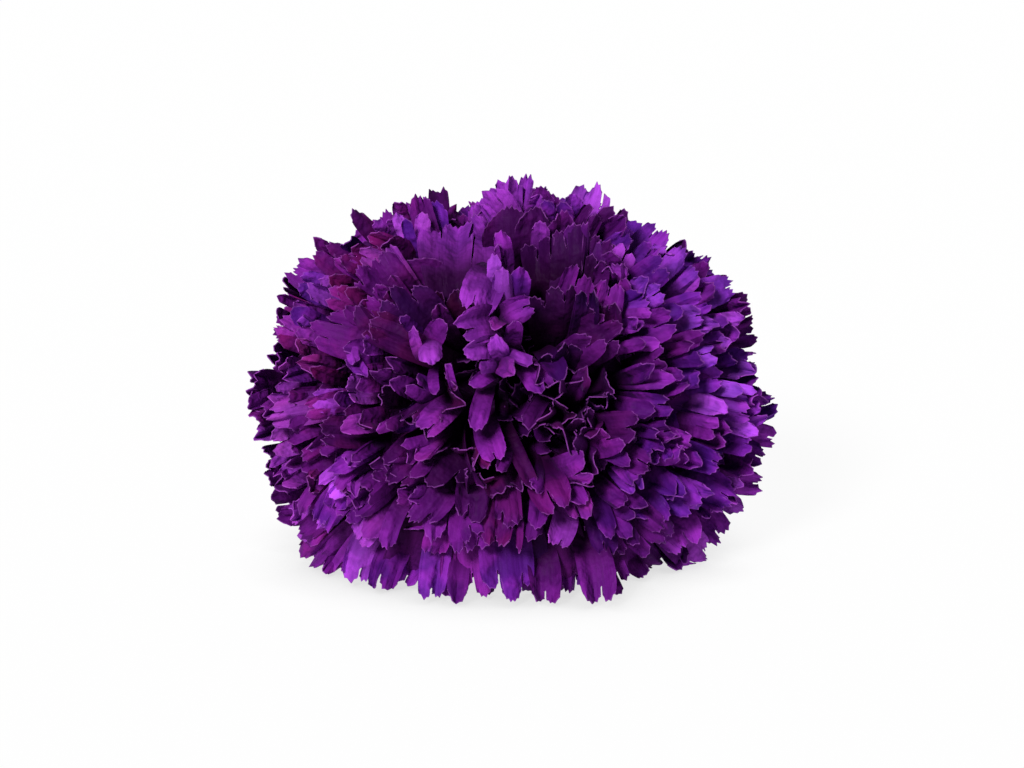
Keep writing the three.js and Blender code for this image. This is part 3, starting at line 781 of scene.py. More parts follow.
        (445, 548, 448, 597, 13, 1, "mid magenta"), (457, 552, 460, 598, 15, 1, "mid indigo"),
        (467, 542, 480, 594, 27, 3, "mid magenta", dict(slit=0.6)),
        (456, 580, 457, 604, 17, 2, "dark violet"),
        (503, 544, 511, 602, 46, 4, "mid indigo", dict(slit=0.7)),
        (535, 560, 541, 586, 16, 2, "mid indigo"), (546, 576, 546, 604, 26, 2, "dark magenta"),
        (560, 564, 562, 585, 18, 2, "mid violet"), (579, 570, 573, 594, 22, 2, "dark violet"),
        (600, 568, 599, 604, 30, 3, "mid magenta"), (611, 563, 623, 594, 22, 2, "mid violet"),
        (627, 558, 646, 577, 18, 2, "dark violet"), (640, 549, 660, 564, 18, 2, "dark violet"),
        (501, 503, 495, 544, 28, 2, "mid magenta", dict(slit=0.5)),
        (470, 524, 468, 552, 38, 4, "mid violet", dict(slit=0.8)),
        (586, 520, 580, 564, 36, 4, "mid violet", dict(slit=0.8)),
        (604, 524, 606, 556, 22, 3, "dark indigo"),
        (514, 500, 524, 548, 9, 1, "mid magenta", dict(turn=30)),
        (440, 526, 432, 556, 22, 2, "mid magenta"), (620, 530, 632, 552, 24, 3, "dark violet"),
        (470, 492, 470, 524, 28, 3, "dark violet"), (536, 512, 530, 540, 18, 2, "dark indigo"),
        (650, 520, 668, 540, 26, 3, "dark violet"),
        (445, 545, 444, 590, 36, 3, "deep magenta", dict(high=0.96)),
        (486, 545, 488, 590, 36, 3, "deep violet", dict(high=0.96)),
        (526, 545, 528, 588, 36, 3, "deep indigo", dict(high=0.96)),
        (568, 545, 566, 590, 36, 3, "deep magenta", dict(high=0.96)),
        (606, 542, 610, 588, 36, 3, "deep violet", dict(high=0.96)),
        (405, 540, 398, 580, 34, 3, "deep violet", dict(high=0.96)),
    ],
    "left": [
        (267, 386, 243, 382, 21, 3, "dark violet"), (289, 359, 268, 350, 19, 3, "dark violet"),
        (265, 401, 244, 404, 20, 3, "dark violet"), (273, 410, 251, 421, 18, 3, "mid magenta"),
        (273, 430, 254, 438, 18, 2, "bright magenta"), (300, 396, 271, 392, 20, 3, "bright magenta"),
        (326, 405, 270, 415, 26, 2, "bright magenta"), (302, 432, 270, 447, 29, 2, "bright magenta"),
        (301, 458, 275, 471, 26, 2, "bright violet"), (279, 452, 260, 453, 12, 2, "mid violet"),
        (279, 466, 262, 465, 10, 2, "dark magenta"), (291, 472, 270, 479, 15, 3, "dark violet"),
        (350, 404, 314, 400, 21, 2, "bright indigo"), (371, 388, 342, 390, 26, 2, "bright magenta"),
        (376, 354, 344, 356, 28, 3, "dark indigo"),
        (345, 356, 366, 376, 12, 1, "bright indigo", dict(low=0.94, high=1.01)),
        (366, 435, 320, 432, 26, 2, "deep magenta"),
        (397, 422, 376, 430, 11, 1, "bright violet", dict(low=0.92)),
        (359, 449, 344, 467, 16, 2, "bright indigo"), (329, 450, 302, 466, 24, 3, "dark magenta"),
        (321, 477, 305, 491, 18, 3, "dark wine"), (414, 453, 388, 482, 36, 4, "dark violet"),
        (300, 372, 283, 362, 16, 2, "mid magenta"), (306, 370, 290, 376, 16, 2, "mid indigo"),
        (325, 368, 300, 362, 18, 2, "mid wine"), (308, 500, 272, 502, 24, 3, "deep violet"),
        (300, 480, 276, 490, 18, 3, "dark violet"), (306, 516, 280, 516, 18, 3, "dark violet"),
        (380, 488, 352, 512, 26, 3, "mid violet"), (362, 500, 342, 520, 22, 3, "mid violet"),
        (405, 380, 380, 366, 26, 3, "dark violet"), (400, 470, 372, 470, 22, 3, "dark violet"),
        (372, 414, 350, 418, 24, 3, "deep magenta"), (392, 400, 378, 392, 20, 2, "deep magenta"),
        (420, 500, 398, 496, 18, 2, "mid violet"), (350, 478, 352, 500, 20, 2, "dark magenta"),
    ],
}


shownRule = {
    "seed": 11,
    "firstSeed": 5000,
    "broadAt": 0.7,
    "tipNarrower": 0.36,
    "slit": (0.3, 0.95),  # shares of a lobe's width
    "shoulder": (0.8, 1.3),
    "ruffle": (0.6, 1.5),
    "cup": (-0.02, 0.03),
    "fold": (-0.12, 0.2),
    "curl": 0.7,
    "part": (0.3, 0.9),
    "nearest": 13.0,  # mm from the heart to a petal's root
    "under": 0.3,  # the part of a petal that its neighbours cover, as a share of what shows
    "sink": 8.0,  # mm that its root lies deeper
    "wider": (1.45, 0.0045),  # than what shows between its neighbours, and less so for each pixel of width
    "cover": 0.81,  # petals grown by the rule keep behind a shown one, at this share of the reach
    # painted shade for grown petals that keep behind a shown one
    "coveredShade": 0.45,
    "fanCover": 0.66,
    "fanShadeStretch": 1.4,  # how much sooner the painted throat shade darkens the broad ones inward
    "peep": (42, 0.9),  # degrees from the axis past which some stand out further, up to this share
    "bluer": 0.0004,  # for each pixel further to the right
    # painted light and shade: how much brighter these parts are, with painted light above 1 and painted
    # shade below 1
    "light": {
        "crest": 1.35, "left shoulder": 0.85, "top": 0.92, "left": 0.9, "right": 1.12, "heart": 0.95,
    },
    "centreSeen": (518, 405),
    "centreLight": (105, 0.48),  # painted shade: up to this many pixels from the centre petals are this much darker
    "centreRed": 0.16,  # and nearer to wine as far as they are painted darker
    "rimLight": (225, 1.16),  # painted light: and past these brighter
    # painted light and shade: parts of the picture, by pixel and radius, that are lighter or darker than
    # their surroundings
    "paintedLightSpots": [
        (285, 262, 45, 1.2), (275, 322, 45, 1.5), (378, 322, 42, 0.66), (556, 300, 52, 0.72),
        (640, 250, 45, 1.12), (720, 265, 40, 0.78), (375, 385, 45, 1.4), (285, 440, 50, 1.12),
        (735, 470, 45, 1.1), (640, 575, 50, 0.5), (385, 212, 40, 1.6), (735, 328, 40, 1.15),
        (282, 510, 45, 0.88), (555, 520, 40, 1.1),
    ],
    "footLow": 0.97,  # at the foot petals hang over each other's ends
    "footSink": 12.0,
    "longest": (10.0, 0.2, 19.0),  # mm from where it comes out to its tip, more for each pixel of width
    "footAbove": 0.8,
    "narrowLobe": 3.1,  # no lobe is narrower than about this many mm
}


tileRule = {
    "seed": 23,
    "chance": {"left shoulder": 0.9, "right shoulder": 1.0, "right": 1.0, "left": 1.0, "foot": 0.7},
    "shortest": 21.0,  # no tile on a petal that shows less than this many pixels of its length
    "widest": 47.0,  # nor on the broad ones that the picture shows whole
    "back": (0.4, 0.62),  # where its tip stands, as a share of the way from the other's tip inward
    "aside": 0.34,  # shares of the other's width
    "narrower": (0.6, 0.92),
    "narrowest": 11,
    "length": 0.85,  # as a share of what the other shows
    "swing": 12,  # degrees
    "tones": ["dark", "mid", "mid", "mid", "bright"],
    "highest": 222,  # and none on those that stand up at the top of the picture
    "lift": 0.015,
}


def tilesOver(pick, region):
    # smaller petals that stand over the inner half of a long one, as shingles do
    rng = np.random.default_rng([tileRule["seed"], *pick["out"], *pick["tip"]])
    out, tip = np.array(pick["out"], dtype=float), np.array(pick["tip"], dtype=float)
    inward = out - tip
    shows = np.linalg.norm(inward)
    chance, aside, tone = rng.uniform(), rng.uniform(-1, 1), rng.integers(5)
    narrower = rng.uniform(*tileRule["narrower"])
    back = rng.uniform(*tileRule["back"])
    swing = math.radians(rng.normal() * tileRule["swing"])
    if shows < tileRule["shortest"] or pick["width"] > tileRule["widest"]:
        return []
    if tip[1] < tileRule["highest"] or chance > tileRule["chance"].get(region, 0):
        return []
    sideways = np.array([-inward[1], inward[0]]) / shows
    tileTip = tip + inward * back + sideways * aside * tileRule["aside"] * pick["width"]
    way = np.array([
        inward[0] * math.cos(swing) - inward[1] * math.sin(swing),
        inward[0] * math.sin(swing) + inward[1] * math.cos(swing),
    ])
    tileOut = tileTip + way * tileRule["length"]
    high = min(pick["high"] * (1 - back) + pick["low"] * back + 0.06, 1.0) + tileRule["lift"]
    tint = tileRule["tones"][tone] + " " + pick["tint"].split()[1]
    width = max(narrower * pick["width"], tileRule["narrowest"])
    lobes = 3 if width > 18 else 2
    ends = {"low": pick["low"], "high": high}
    return [shown(*tileOut.tolist(), *tileTip.tolist(), width, lobes, tint, ends)]


def lightSeen(at):
    # painted shade and light: petals are darker about the centre of the bloom's face and brighter towards
    # its rim
    near, dark = shownRule["centreLight"]
    far, bright = shownRule["rimLight"]
    away = np.linalg.norm(np.array(at) - shownRule["centreSeen"])
    light = dark + (bright - dark) * float(smooth(near, far, away))
    for x, y, radius, share in shownRule["paintedLightSpots"]:
        light *= share ** math.exp(-((at[0] - x) ** 2 + (at[1] - y) ** 2) / radius ** 2)
    return light


def petalFromPicture(pick, region, index):
    # the same values that a grown petal has, from the pixels at which this one shows
    pixels = np.rint(np.abs(pick["out"] + pick["tip"])).astype(int)
    rng = np.random.default_rng([shownRule["seed"], *pixels])
    heart = bloomForm["heart"]
    eye = viewForm["lookAt"] + viewAxes()[0] * viewForm["distance"]
    atFoot = region == "foot"
    above = shownRule["footAbove"] if atFoot else bloomForm["lowest"]
    out = seenAt(*pick["out"], max(pick["low"], shownRule["footLow"]) if atFoot else pick["low"], above)
    tip = seenAt(*pick["tip"], pick["high"], above)
    sight = unit(out - eye)
    if atFoot and out[2] < above + 0.1:  # it hangs down to the surface and doesn't lie along it
        out = eye + sight * (tip[1] + 1.5 - eye[1]) / sight[1]
    beside = out + sight * ((tip - out) @ sight)
    least, more, most = shownRule["longest"]
    longest = min(least + more * pick["width"], most)
    spare = math.sqrt(max(longest ** 2 - np.linalg.norm(tip - beside) ** 2, 0))
    if (tip - out) @ sight > spare:
        out = beside - sight * spare
    root = out - (tip - out) * shownRule["under"]
    root -= unit(out - heart) * shownRule["footSink" if atFoot else "sink"]
    if np.linalg.norm(root - heart) < shownRule["nearest"]:
        root = heart + unit(root - heart) * shownRule["nearest"]
    chord = unit(tip - out)
    facing = unit(eye - tip)
    facing = unit(facing - (facing @ chord) * chord)
    across = np.cross(facing, chord)
    turn = math.radians(pick["turn"])
    across = across * math.cos(turn) + facing * math.sin(turn)
    lifted = np.cross(chord, across)
    local = flowerAxes.T @ unit(root - heart)
    angle, clock = math.degrees(math.acos(local[2])), math.degrees(math.atan2(local[1], local[0]))
    share = (1 - math.cos(math.radians(angle))) / (1 - math.cos(math.radians(petalRule["lastAngle"])))
    claw, mouth = clawOf(min(share, 1.0), clock)
    tone, hue = pick["tint"].split()
    tipLocal = flowerAxes.T @ unit(tip - heart)
    # painted light and shade for this petal, carried in its brightness
    light = lightSeen(pick["tip"]) * shownRule["light"].get(region, 1.0)
    redder = shownRule["centreRed"] * max(1 - light, 0) - shownRule["bluer"] * (pick["tip"][0] - 512)
    most, less = shownRule["wider"]
    wider = max(most - less * pick["width"], 1.05)
    size = wider * pick["width"] * np.linalg.norm(eye - tip) / focalPixels()
    lobes = min(pick["lobes"], max(round(size / shownRule["narrowLobe"]), 1))
    return {
        "claw": claw,
        "mouth": mouth,
        "root": root,
        "tip": tip,
        "leave": unit(unit(out - heart) + 0.3 * chord),
        "end": unit(unit(tip - out) - lifted * rng.uniform(0.0, 0.5) * (-0.6 if atFoot else 1)),
        "side": across,
        "rootHalf": min(petalRule["clawHalf"], size / 4),
        "shadeStretch": shownRule["fanShadeStretch"] if pick["fan"] else 1.0,
        "broadAt": 1.0 if pick["fan"] else shownRule["broadAt"],
        "tipNarrower": 0.0 if pick["fan"] else shownRule["tipNarrower"],
        "halfWidth": size / 2,
        "lobes": lobes,
        "slit": (pick["slit"] or rng.uniform(*shownRule["slit"])) * size / lobes,
        "shoulder": rng.uniform(*shownRule["shoulder"]) * size / lobes,
        "tooth": rng.uniform(*petalRule["tooth"]) * min(1.0, 0.5 + size / 12),
        "ruffle": pick["ruffle"] or rng.uniform(*shownRule["ruffle"]) * min(1.0, size / 6),
        "waves": rng.uniform(*petalRule["waves"]),
        "phase": rng.uniform(0, 6.28),
        "cup": rng.uniform(*shownRule["cup"]),
        "fold": rng.uniform(*shownRule["fold"]),
        "curl": rng.normal() * shownRule["curl"],
        "part": rng.uniform(*shownRule["part"]),
        "twist": math.radians(rng.normal() * 8),
        "tint": (
            float(np.clip(petalHues[hue] + rng.normal() * 0.04 + redder, 0, 1)),
            float(petalTones[tone] * math.exp(rng.normal() * 0.06) * light),
        ),
        "seed": shownRule["firstSeed"] + index,
        "angle": math.degrees(math.acos(tipLocal[2])),
    }


def pickedPetals():
    picks = [(shown(*row), region) for region, rows in shownPetals.items() for row in rows]
    picks += [(tile, region) for pick, region in picks for tile in tilesOver(pick, region)]
    petals = [petalFromPicture(pick, region, i) for i, (pick, region) in enumerate(picks)]
    return sorted([pick for pick, _ in picks], key=lambda pick: not pick["fan"]), petals


# The bloom's outline in the picture, clockwise from the top of its right half.
outlineSeen = [
    (512, 170), (530, 186), (562, 192), (605, 186), (626, 206), (624, 222), (655, 225), (686, 241),
    (709, 255), (716, 268), (726, 272), (748, 296), (758, 324), (756, 342), (748, 352), (768, 378),
    (777, 398), (775, 440), (766, 482), (745, 510), (722, 544), (703, 568), (650, 580), (604, 604),
    (546, 605), (456, 604), (392, 592), (340, 576), (304, 554), (276, 522), (268, 480), (256, 440),
    (242, 398), (242, 378), (264, 348), (278, 326), (276, 292), (300, 258), (338, 234), (350, 211),
    (378, 214), (402, 196), (437, 190), (458, 208), (468, 228), (476, 210), (496, 178),
]


def insideSeen(place, slack):
    # whether a place shows inside the bloom's outline, or no further outside it than the slack in pixels
    at = pixelOf(place)
    start = np.array(outlineSeen, dtype=float)
    end = np.roll(start, -1, axis=0)
    crosses = (start[:, 1] > at[1]) != (end[:, 1] > at[1])
    with np.errstate(divide="ignore", invalid="ignore"):
        meets = start[:, 0] + (at[1] - start[:, 1]) / (end[:, 1] - start[:, 1]) * (end[:, 0] - start[:, 0])
    if np.count_nonzero(crosses & (at[0] < meets)) % 2:
        return True
    run = end - start
    along = np.clip(((at - start) * run).sum(1) / (run * run).sum(1), 0, 1)
    return np.linalg.norm(at - start - along[:, None] * run, axis=1).min() < slack


def drawIn(petal, share):
    # nearer to the heart, but a petal that lies on the surface stays on it
    heart = bloomForm["heart"]
    for end in ("root", "tip"):
        height = petal[end][2]
        petal[end] = heart + (petal[end] - heart) * share
        if height < 5:
            petal[end][2] = height


def keepInOutline(petal):
    # draws a petal in until its tip and corners show inside the bloom's outline
    for _ in range(12):
        corners = [petal["tip"] + k * 0.75 * petal["halfWidth"] * petal["side"] for k in (-1, 0, 1)]
        if all(insideSeen(corner, 3) for corner in corners):
            return
        drawIn(petal, 0.98)


def hidesShown(petal, picks):
    # the petal from the picture that a grown one would stand over
    if petal["tip"][1] > bloomForm["heart"][1] + 4:
        return None
    middle = petal["root"] * 0.35 + petal["tip"] * 0.65
    for place in (petal["tip"], middle):
        at = pixelOf(place)
        for pick in picks:
            out, tip = np.array(pick["out"]), np.array(pick["tip"])
            along = np.clip((at - out) @ (tip - out) / ((tip - out) @ (tip - out)), 0, 1)
            if np.linalg.norm(at - out - along * (tip - out)) < pick["width"] / 2 + 4:
                return pick
    return None


def grownPetals(picks):
    # the petals in the order they grow, each a golden angle on from the last and further from the axis
    f = petalRule
    rng = np.random.default_rng(f["seed"])
    heart = bloomForm["heart"]
    cap = 1 - math.cos(math.radians(f["lastAngle"]))
    petals = []
    for i in range(f["count"]):
        share = (i + 0.5) / f["count"]
        rootAngle = math.degrees(math.acos(1 - share * cap))
        clock = (i * f["goldenAngle"] + rng.uniform(-f["clock"], f["clock"])) % 360
        outer = float(smooth(10, 34, rootAngle))  # 0 in the middle of the face, 1 outside it
        inner = 1 - outer
        rim = float(smooth(34, 75, rootAngle))  # 1 where petals lie flat over each other
        lean = inner * rng.uniform(*f["heartLean"])
        lean += outer * (f["lean"][0] - 5 * rim + rng.normal() * f["lean"][1])
        tipAngle = rootAngle + lean
        bend = inner * rng.uniform(*f["heartBend"])
        bend += outer * (float(np.clip(90 - tipAngle, *f["bend"])) + rng.normal() * f["bendSpread"])
        sway = rng.normal() * f["sway"] / max(math.sin(math.radians(tipAngle)), 0.35)
        rootTo, tipTo = polar(rootAngle, clock), polar(tipAngle, clock + sway)
        reach = reachOf(tipTo)
        if outer > 0.6:
            tipShare = 1.0 - f["short"] * rng.uniform() ** 1.2
        else:
            tipShare = rng.uniform(*f["heartShare"])
        limb = rng.uniform(*f["limb"])
        away = outward(tipAngle, clock + sway)
        b = math.radians(bend)
        claw, mouth = clawOf(share, clock)
        hue = f["hue"][0] - f["bluer"] * reach * tipTo[0] + rng.normal() * f["hue"][1]
        value = f["tone"][0] * math.exp(rng.normal() * f["tone"][1])
        # painted shade: petals nearer the axis, deep in the face, are darker
        value *= 0.55 + 0.45 * float(smooth(15, 45, tipAngle))
        narrower = 0.8 if rootAngle > 95 else 1.0
        petal = {
            "claw": claw,
            "mouth": mouth,
            "root": heart + rootTo * max(reachOf(rootTo) * tipShare - limb, 14.0),
            "tip": heart + tipTo * reach * tipShare,
            "leave": rootTo,
            "end": math.cos(b) * tipTo + math.sin(b) * away,
            "side": np.cross(tipTo, away),
            "rootHalf": f["clawHalf"],
            "shadeStretch": 1.0,
            "broadAt": f["broadAt"],
            "tipNarrower": f["tipNarrower"],
            "halfWidth": rng.uniform(*f["halfWidth"]) * (0.85 + 0.15 * outer) * narrower,
            "lobes": int(rng.choice(f["lobes"])),
            "slit": rng.uniform(*f["slit"]),
            "shoulder": f["shoulder"],
            "tooth": rng.uniform(*f["tooth"]),
            "ruffle": rng.uniform(*f["ruffle"]) * (1.6 - 0.8 * rim),
            "waves": rng.uniform(*f["waves"]),
            "phase": rng.uniform(0, 6.28),
            "cup": rng.uniform(*f["cup"]),
            "fold": rng.uniform(-0.1, 0.35) * inner + rng.uniform(-0.15, 0.25),
            "curl": rng.normal() * 1.0,
            "part": rng.uniform(*f["part"]),
            "twist": math.radians(rng.uniform(-80, 80) * inner + rng.normal() * (30 - 14 * rim)),
            "tint": (float(np.clip(hue, 0, 1)), float(np.clip(value, 0.15, 1))),
            "seed": f["firstSeed"] + i,
            "angle": tipAngle,
        }
        hidden = hidesShown(petal, picks)
        if hidden:
            least = shownRule["cover"]
            peepFrom, peepShare = shownRule["peep"]
            cover = rng.uniform(least, peepShare if tipAngle > peepFrom else least)
            drawIn(petal, shownRule["fanCover"] if hidden["fan"] else cover)
            # painted shade: a grown petal that keeps behind a shown one is darkened
            hue, value = petal["tint"]
            petal["tint"] = (hue, value * shownRule["coveredShade"])
        keepInOutline(petal)
        petals.append(petal)
    return petals


def growPetals():
    picks, petals = pickedPetals()
    petals += grownPetals(picks)
    petals.sort(key=lambda petal: petal["angle"])
    blanks = {count: petalBlank(count) for count in sorted({columnsOf(petal) for petal in petals})}
    whorls = {}
    for i, petal in enumerate(petals):
        blank, column, row, corner = blanks[columnsOf(petal)]
        copy = blank.copy()
        copy.data = blank.data.copy()
        bpy.context.scene.collection.objects.link(copy)
        points, flatMap, margin = petalPoints(petal, column, row)
        setPlace(copy, points * mm)
        copy.data.uv_layers["petalMap"].data.foreach_set("uv", flatMap[corner].astype(np.float32).ravel())
        tint = np.ones((len(column), 4), dtype=np.float32)
        tint[:, 0], tint[:, 1], tint[:, 2] = *petal["tint"], np.clip(margin, 0, 1)
        copy.data.attributes["tint"].data.foreach_set("color", tint.ravel())
        whorls.setdefault(i // petalRule["whorlSize"], []).append(copy)
    for blank, *_ in blanks.values():
        bpy.data.objects.remove(blank)
    print("petals shaped:", len(petals))
    made = []
    for ring in sorted(whorls):
        deselect()
        for copy in whorls[ring]:
            copy.select_set(True)
        bpy.context.view_layer.objects.active = whorls[ring][0]
        bpy.ops.object.join()
        whorl = bpy.context.object
        whorl.name = f"petals_whorl_{ring + 1}"
        thickness = whorl.modifiers.new("thickness", "SOLIDIFY")
        thickness.thickness = petalRule["thick"] * mm
        thickness.offset = 0
        applyModifiers(whorl)
        bpy.ops.object.shade_smooth_by_angle(angle=math.radians(55))
        whorl.data.materials.clear()
        whorl.data.materials.append(petalVelvet)
        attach(whorl, "root")
        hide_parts("bloom")
        made.append(whorl)
        print(whorl.name, "petals:", len(whorls[ring]), "faces:", len(whorl.data.polygons))
    return made


growPetals()

# The green tube that holds the petals' claws.
calyxForm = {
    "mouth": -3.0,  # along the flower's axis, from the heart
    "length": 30.0,
    "mouthRadius": 9.4,
    "footRadius": 6.2,
    "belly": 0.9,
    "wall": 0.9,
    "teeth": 5,
    "tooth": 6.5,
    "ribs": 20,
    "ribHeight": 0.12,
    "columns": 80,
    "rows": 24,
}


def calyxRadius(height):
    f = calyxForm
    share = np.clip((height - f["mouth"] + f["length"]) / f["length"], 0, 1)
    flare = 0.035 * np.maximum(height - f["mouth"] + f["tooth"] / 2, 0) ** 1.6
    taper = f["footRadius"] + (f["mouthRadius"] - f["footRadius"]) * share
    return taper + f["belly"] * np.sin(np.pi * share) + flare


def sheetOf(name, columns, rows):
    # a flat sheet, with the share across and along of each of its points
    deselect()
    bpy.ops.mesh.primitive_grid_add(x_subdivisions=columns, y_subdivisions=rows, size=1, calc_uvs=True)
    sheet = bpy.context.object
    sheet.name = name
    flat = placeOf(sheet)
    return sheet, flat[:, 0] + 0.5, flat[:, 1] + 0.5


def finishGreen(piece, node, material):
    piece.data.materials.clear()
    piece.data.materials.append(material)
    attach(piece, "root")
    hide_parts(node)


def makeCalyx():
    f = calyxForm
    tube, around, along = sheetOf("calyx_tube", f["columns"], f["rows"])
    turn = around * 2 * math.pi
    part = turn * f["teeth"] / (2 * math.pi)
    point = 1 - 2 * np.abs(part - np.rint(part))
    foot = f["mouth"] - f["length"]
    rim = f["mouth"] + f["tooth"] * (point ** 1.15 - 0.5)
    height = foot + along * (rim - foot)
    rib = f["ribHeight"] * np.cos(f["ribs"] * turn) * smooth(0.02, 0.2, along)
    rib *= 1 - smooth(0.8, 1.0, along)
    thinned = 0.25 * smooth(0.86, 1.0, along)  # the teeth are thinner than the tube
    radius = calyxRadius(height) + rib - thinned
    radius -= 0.9 * (1 - smooth(0.0, 0.05, along))  # the foot is rounded under
    setPlace(tube, np.stack([radius * np.cos(turn), radius * np.sin(turn), height], axis=-1) * mm)
    activate(tube)
    bpy.ops.object.mode_set(mode="EDIT")
    bpy.ops.mesh.select_all(action="SELECT")
    bpy.ops.mesh.remove_doubles(threshold=1e-6)
    bpy.ops.mesh.select_all(action="DESELECT")
    bpy.ops.object.mode_set(mode="OBJECT")
    for vertex in tube.data.vertices:
        vertex.select = vertex.co.z < (foot + 0.01) * mm
    for edge in tube.data.edges:
        edge.select = all(tube.data.vertices[k].select for k in edge.vertices)
    bpy.ops.object.mode_set(mode="EDIT")
    bpy.ops.mesh.select_mode(type="EDGE")
    bpy.ops.mesh.edge_face_add()
    bpy.ops.mesh.inset(thickness=2.0 * mm)
    bpy.ops.mesh.select_all(action="SELECT")
    bpy.ops.mesh.normals_make_consistent(inside=False)
    deselect()
    activate(tube)
    wall = tube.modifiers.new("wall", "SOLIDIFY")
    wall.thickness = f["wall"] * mm
    wall.offset = -1
    applyModifiers(tube)
    bpy.ops.object.shade_smooth_by_angle(angle=math.radians(50))
    setOnFlower(tube)
    finishGreen(tube, "calyx", calyxGreen)


makeCalyx()
print("calyx made")

# The scale leaves at the calyx's foot.
bractForm = {
    "count": 4,
    "length": 8.5,
    "wall": 0.8,
    "gap": 0.3,
    "spread": 56.0,  # degrees either side of its middle, so that neighbours overlap
    "step": 0.35,  # the outer pair stands this much further out
    "footRadius": 3.7,
    "columns": 20,
    "rows": 14,
}


def makeBracts():
    f = bractForm
    foot = calyxForm["mouth"] - calyxForm["length"]
    sheet, across, along = sheetOf("bractBlank", f["columns"], f["rows"])
    u = across * 2 - 1
    made = []
    for k in range(f["count"]):
        bract = sheet.copy()
        bract.data = sheet.data.copy()
        bpy.context.scene.collection.objects.link(bract)
        bract.name = f"bract_{k + 1}"
        outerPair = k % 2
        stepOut = f["step"] * outerPair
        long = f["length"] * (0.9 if outerPair else 1.0)
        outline = 1 - 0.62 * np.abs(u) ** 1.3  # its margin falls from the point to the sides
        height = foot - 0.5 + along * (long * outline + 0.5)
        under = 1 - smooth(0.0, 0.16, along)  # below, it turns in to the stem
        radius = calyxRadius(height) + f["gap"] + f["wall"] / 2 + stepOut
        opened = 0.02 * np.maximum(height - foot, 0) ** 1.5
        radius += opened + 0.12 * (1 - np.abs(u)) * smooth(0.1, 0.6, along)
        radius = radius * (1 - under) + (f["footRadius"] - 0.2 + stepOut) * under
        height -= 0.35 * under
        turn = math.radians(90 * k + 45) + u * math.radians(f["spread"]) * (1 - 0.12 * along)
        points = np.stack([radius * np.cos(turn), radius * np.sin(turn), height], axis=-1)
        setPlace(bract, points * mm)
        activate(bract)
        wall = bract.modifiers.new("wall", "SOLIDIFY")
        wall.thickness = f["wall"] * mm * 0.7
        wall.offset = 0
        applyModifiers(bract)
        bpy.ops.object.shade_smooth_by_angle(angle=math.radians(50))
        setOnFlower(bract)
        finishGreen(bract, "epicalyx", bractGreen)
        made.append(bract)
    bpy.data.objects.remove(sheet)
    return made


makeBracts()
print("scale leaves made")

# The stem, cut short.
stemForm = {
    "top": -34.4,  # along the flower's axis, from the heart
    "length": 37.0,
    "radius": 2.6,
    "nodeRadius": 3.7,
    "sides": 32,
    "cutSlope": 0.6,  # mm along the stem for each mm across it
    "rind": 0.45,
}


def makeStem():
    f = stemForm
    radius, knot, top = f["radius"], f["nodeRadius"], f["top"]
    end = top - f["length"]
    profile = [
        (radius, end - 3), (radius, end + 6), (radius * 0.98, end + 13), (radius * 0.97, end + 20),
        (radius, top - 8), (radius + 0.25, top - 3.5), (knot * 0.94, top - 2), (knot, top - 1.1),
        (knot * 0.97, top - 0.3), (knot * 0.9, top),
    ]
    deselect()
    bpy.ops.mesh.primitive_circle_add(
        vertices=f["sides"], radius=radius * mm, fill_type="NGON", location=(0, 0, profile[0][1] * mm)
    )
    stem = bpy.context.object
    stem.name = "stem_cut"
    bpy.ops.object.transform_apply(location=True, rotation=True, scale=True)
    bpy.ops.object.mode_set(mode="EDIT")
    bpy.ops.mesh.select_all(action="SELECT")
    for (fromRadius, fromHeight), (toRadius, toHeight) in zip(profile, profile[1:]):
        rise = (0, 0, (toHeight - fromHeight) * mm)
        bpy.ops.mesh.extrude_region_move(TRANSFORM_OT_translate={"value": rise})
        wider = toRadius / fromRadius
        bpy.ops.transform.resize(value=(wider, wider, 1), center_override=(0, 0, toHeight * mm))
    bpy.ops.mesh.inset(thickness=1.0 * mm)
    bpy.ops.mesh.select_all(action="SELECT")
    bpy.ops.mesh.normals_make_consistent(inside=False)
    slope = math.atan(f["cutSlope"])
    cutNormal = (0, -math.sin(slope), math.cos(slope))
    cutAt = (0, 0, (end + radius * f["cutSlope"]) * mm)
    bpy.ops.mesh.bisect(plane_co=cutAt, plane_no=cutNormal, use_fill=True, clear_inner=True)
    bpy.ops.object.mode_set(mode="OBJECT")
    for face in stem.data.polygons:
        face.select = face.normal.dot(Vector(cutNormal)) < -0.98
    bpy.ops.object.mode_set(mode="EDIT")
    bpy.ops.mesh.select_mode(type="FACE")
    bpy.ops.mesh.inset(thickness=f["rind"] * mm, depth=-0.12 * mm)
    bpy.ops.mesh.inset(thickness=0.9 * mm, depth=-0.1 * mm)
    bpy.ops.object.mode_set(mode="OBJECT")
    stem.data.materials.clear()
    stem.data.materials.append(stemGreen)
    stem.data.materials.append(cutPith)
    for face in stem.data.polygons:
        face.material_index = 1 if face.select or face.normal.dot(Vector(cutNormal)) < -0.9 else 0
    bpy.ops.object.shade_smooth_by_angle(angle=math.radians(40))
    setOnFlower(stem)
    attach(stem, "root")
    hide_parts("stem")


makeStem()
print("stem made")

# The surface it lies on and the light.
studio = {
    "floorSize": 8.0,
    "floorTone": 0.06,
    "fill": 0.17,
    "keyStrength": 3.9,
    "keySoftness": 14.0,  # degrees across
    "keyFrom": (-0.45, -1.0, 0.7),
    "glow": 0.94,  # the surface is lit evenly, so its shadows stay faint
    "paintedShadowReach": 0.014,  # painted contact shadow: metres over which the surface's glow is dimmed towards what lies on it
    "paintedShadowDepth": 0.3,
}


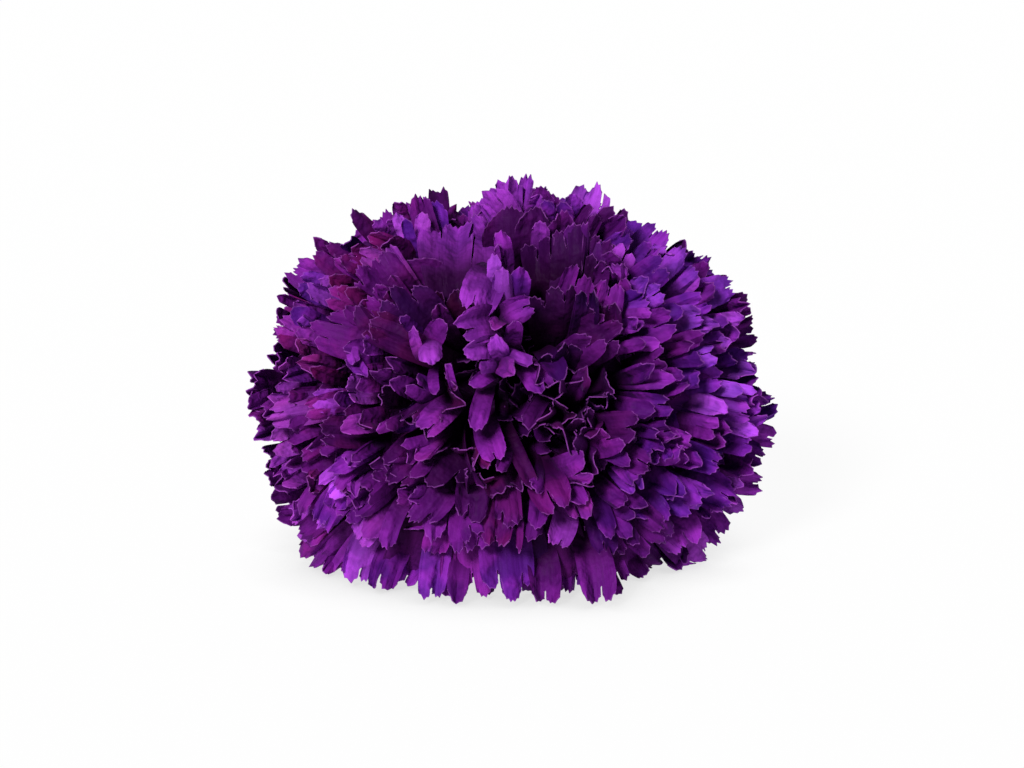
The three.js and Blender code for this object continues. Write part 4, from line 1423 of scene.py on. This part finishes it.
def makeStudio():
    deselect()
    bpy.ops.mesh.primitive_plane_add(size=studio["floorSize"], location=(0, 0, 0))
    floor = bpy.context.object
    floor.name = "floor"
    paper, tree, shader = newMaterial("white surface")
    # painted contact shadow: an ambient occlusion node dims the floor's glow near what lies on it
    reach = {"Distance": studio["paintedShadowReach"]}
    paintedContactShadow = shaderNode(tree, "ShaderNodeAmbientOcclusion", reach, samples=8)
    darkest = studio["glow"] * (1 - studio["paintedShadowDepth"])
    shade = {"Value": paintedContactShadow.outputs["AO"], "To Min": darkest, "To Max": studio["glow"]}
    glow = shaderNode(tree, "ShaderNodeMapRange", shade)
    feed(tree, shader, {
        "Base Color": (studio["floorTone"],) * 3,
        "Roughness": 0.8,
        "Specular IOR Level": 0.1,
        "Emission Color": (1, 1, 1),
        "Emission Strength": glow.outputs["Result"],
    })
    floor.data.materials.append(paper)
    world = bpy.data.worlds.new("white room")
    bpy.context.scene.world = world
    world.use_nodes = True
    world.node_tree.nodes["Background"].inputs[0].default_value = (1, 1, 1, 1)
    world.node_tree.nodes["Background"].inputs[1].default_value = studio["fill"]
    bpy.ops.object.light_add(type="SUN", location=(0, -1, 2))
    key = bpy.context.object
    key.name = "soft key"
    key.data.energy = studio["keyStrength"]
    key.data.angle = math.radians(studio["keySoftness"])
    key.rotation_mode = "QUATERNION"
    key.rotation_quaternion = (-Vector(studio["keyFrom"])).to_track_quat("-Z", "Y")
    bpy.context.scene.view_settings.view_transform = "Standard"


def makeCamera():
    back, _, _ = viewAxes()
    at = (viewForm["lookAt"] + back * viewForm["distance"]) * mm
    bpy.ops.object.camera_add(location=at)
    camera = bpy.context.object
    camera.name = "camera"
    camera.data.lens = viewForm["lens"]
    camera.data.sensor_width = viewForm["sensor"]
    camera.rotation_mode = "QUATERNION"
    camera.rotation_quaternion = Vector(-back).to_track_quat("-Z", "Y")
    camera.data.clip_start, camera.data.clip_end = 0.01, 20
    bpy.context.scene.camera = camera


makeStudio()
makeCamera()
print("studio made")
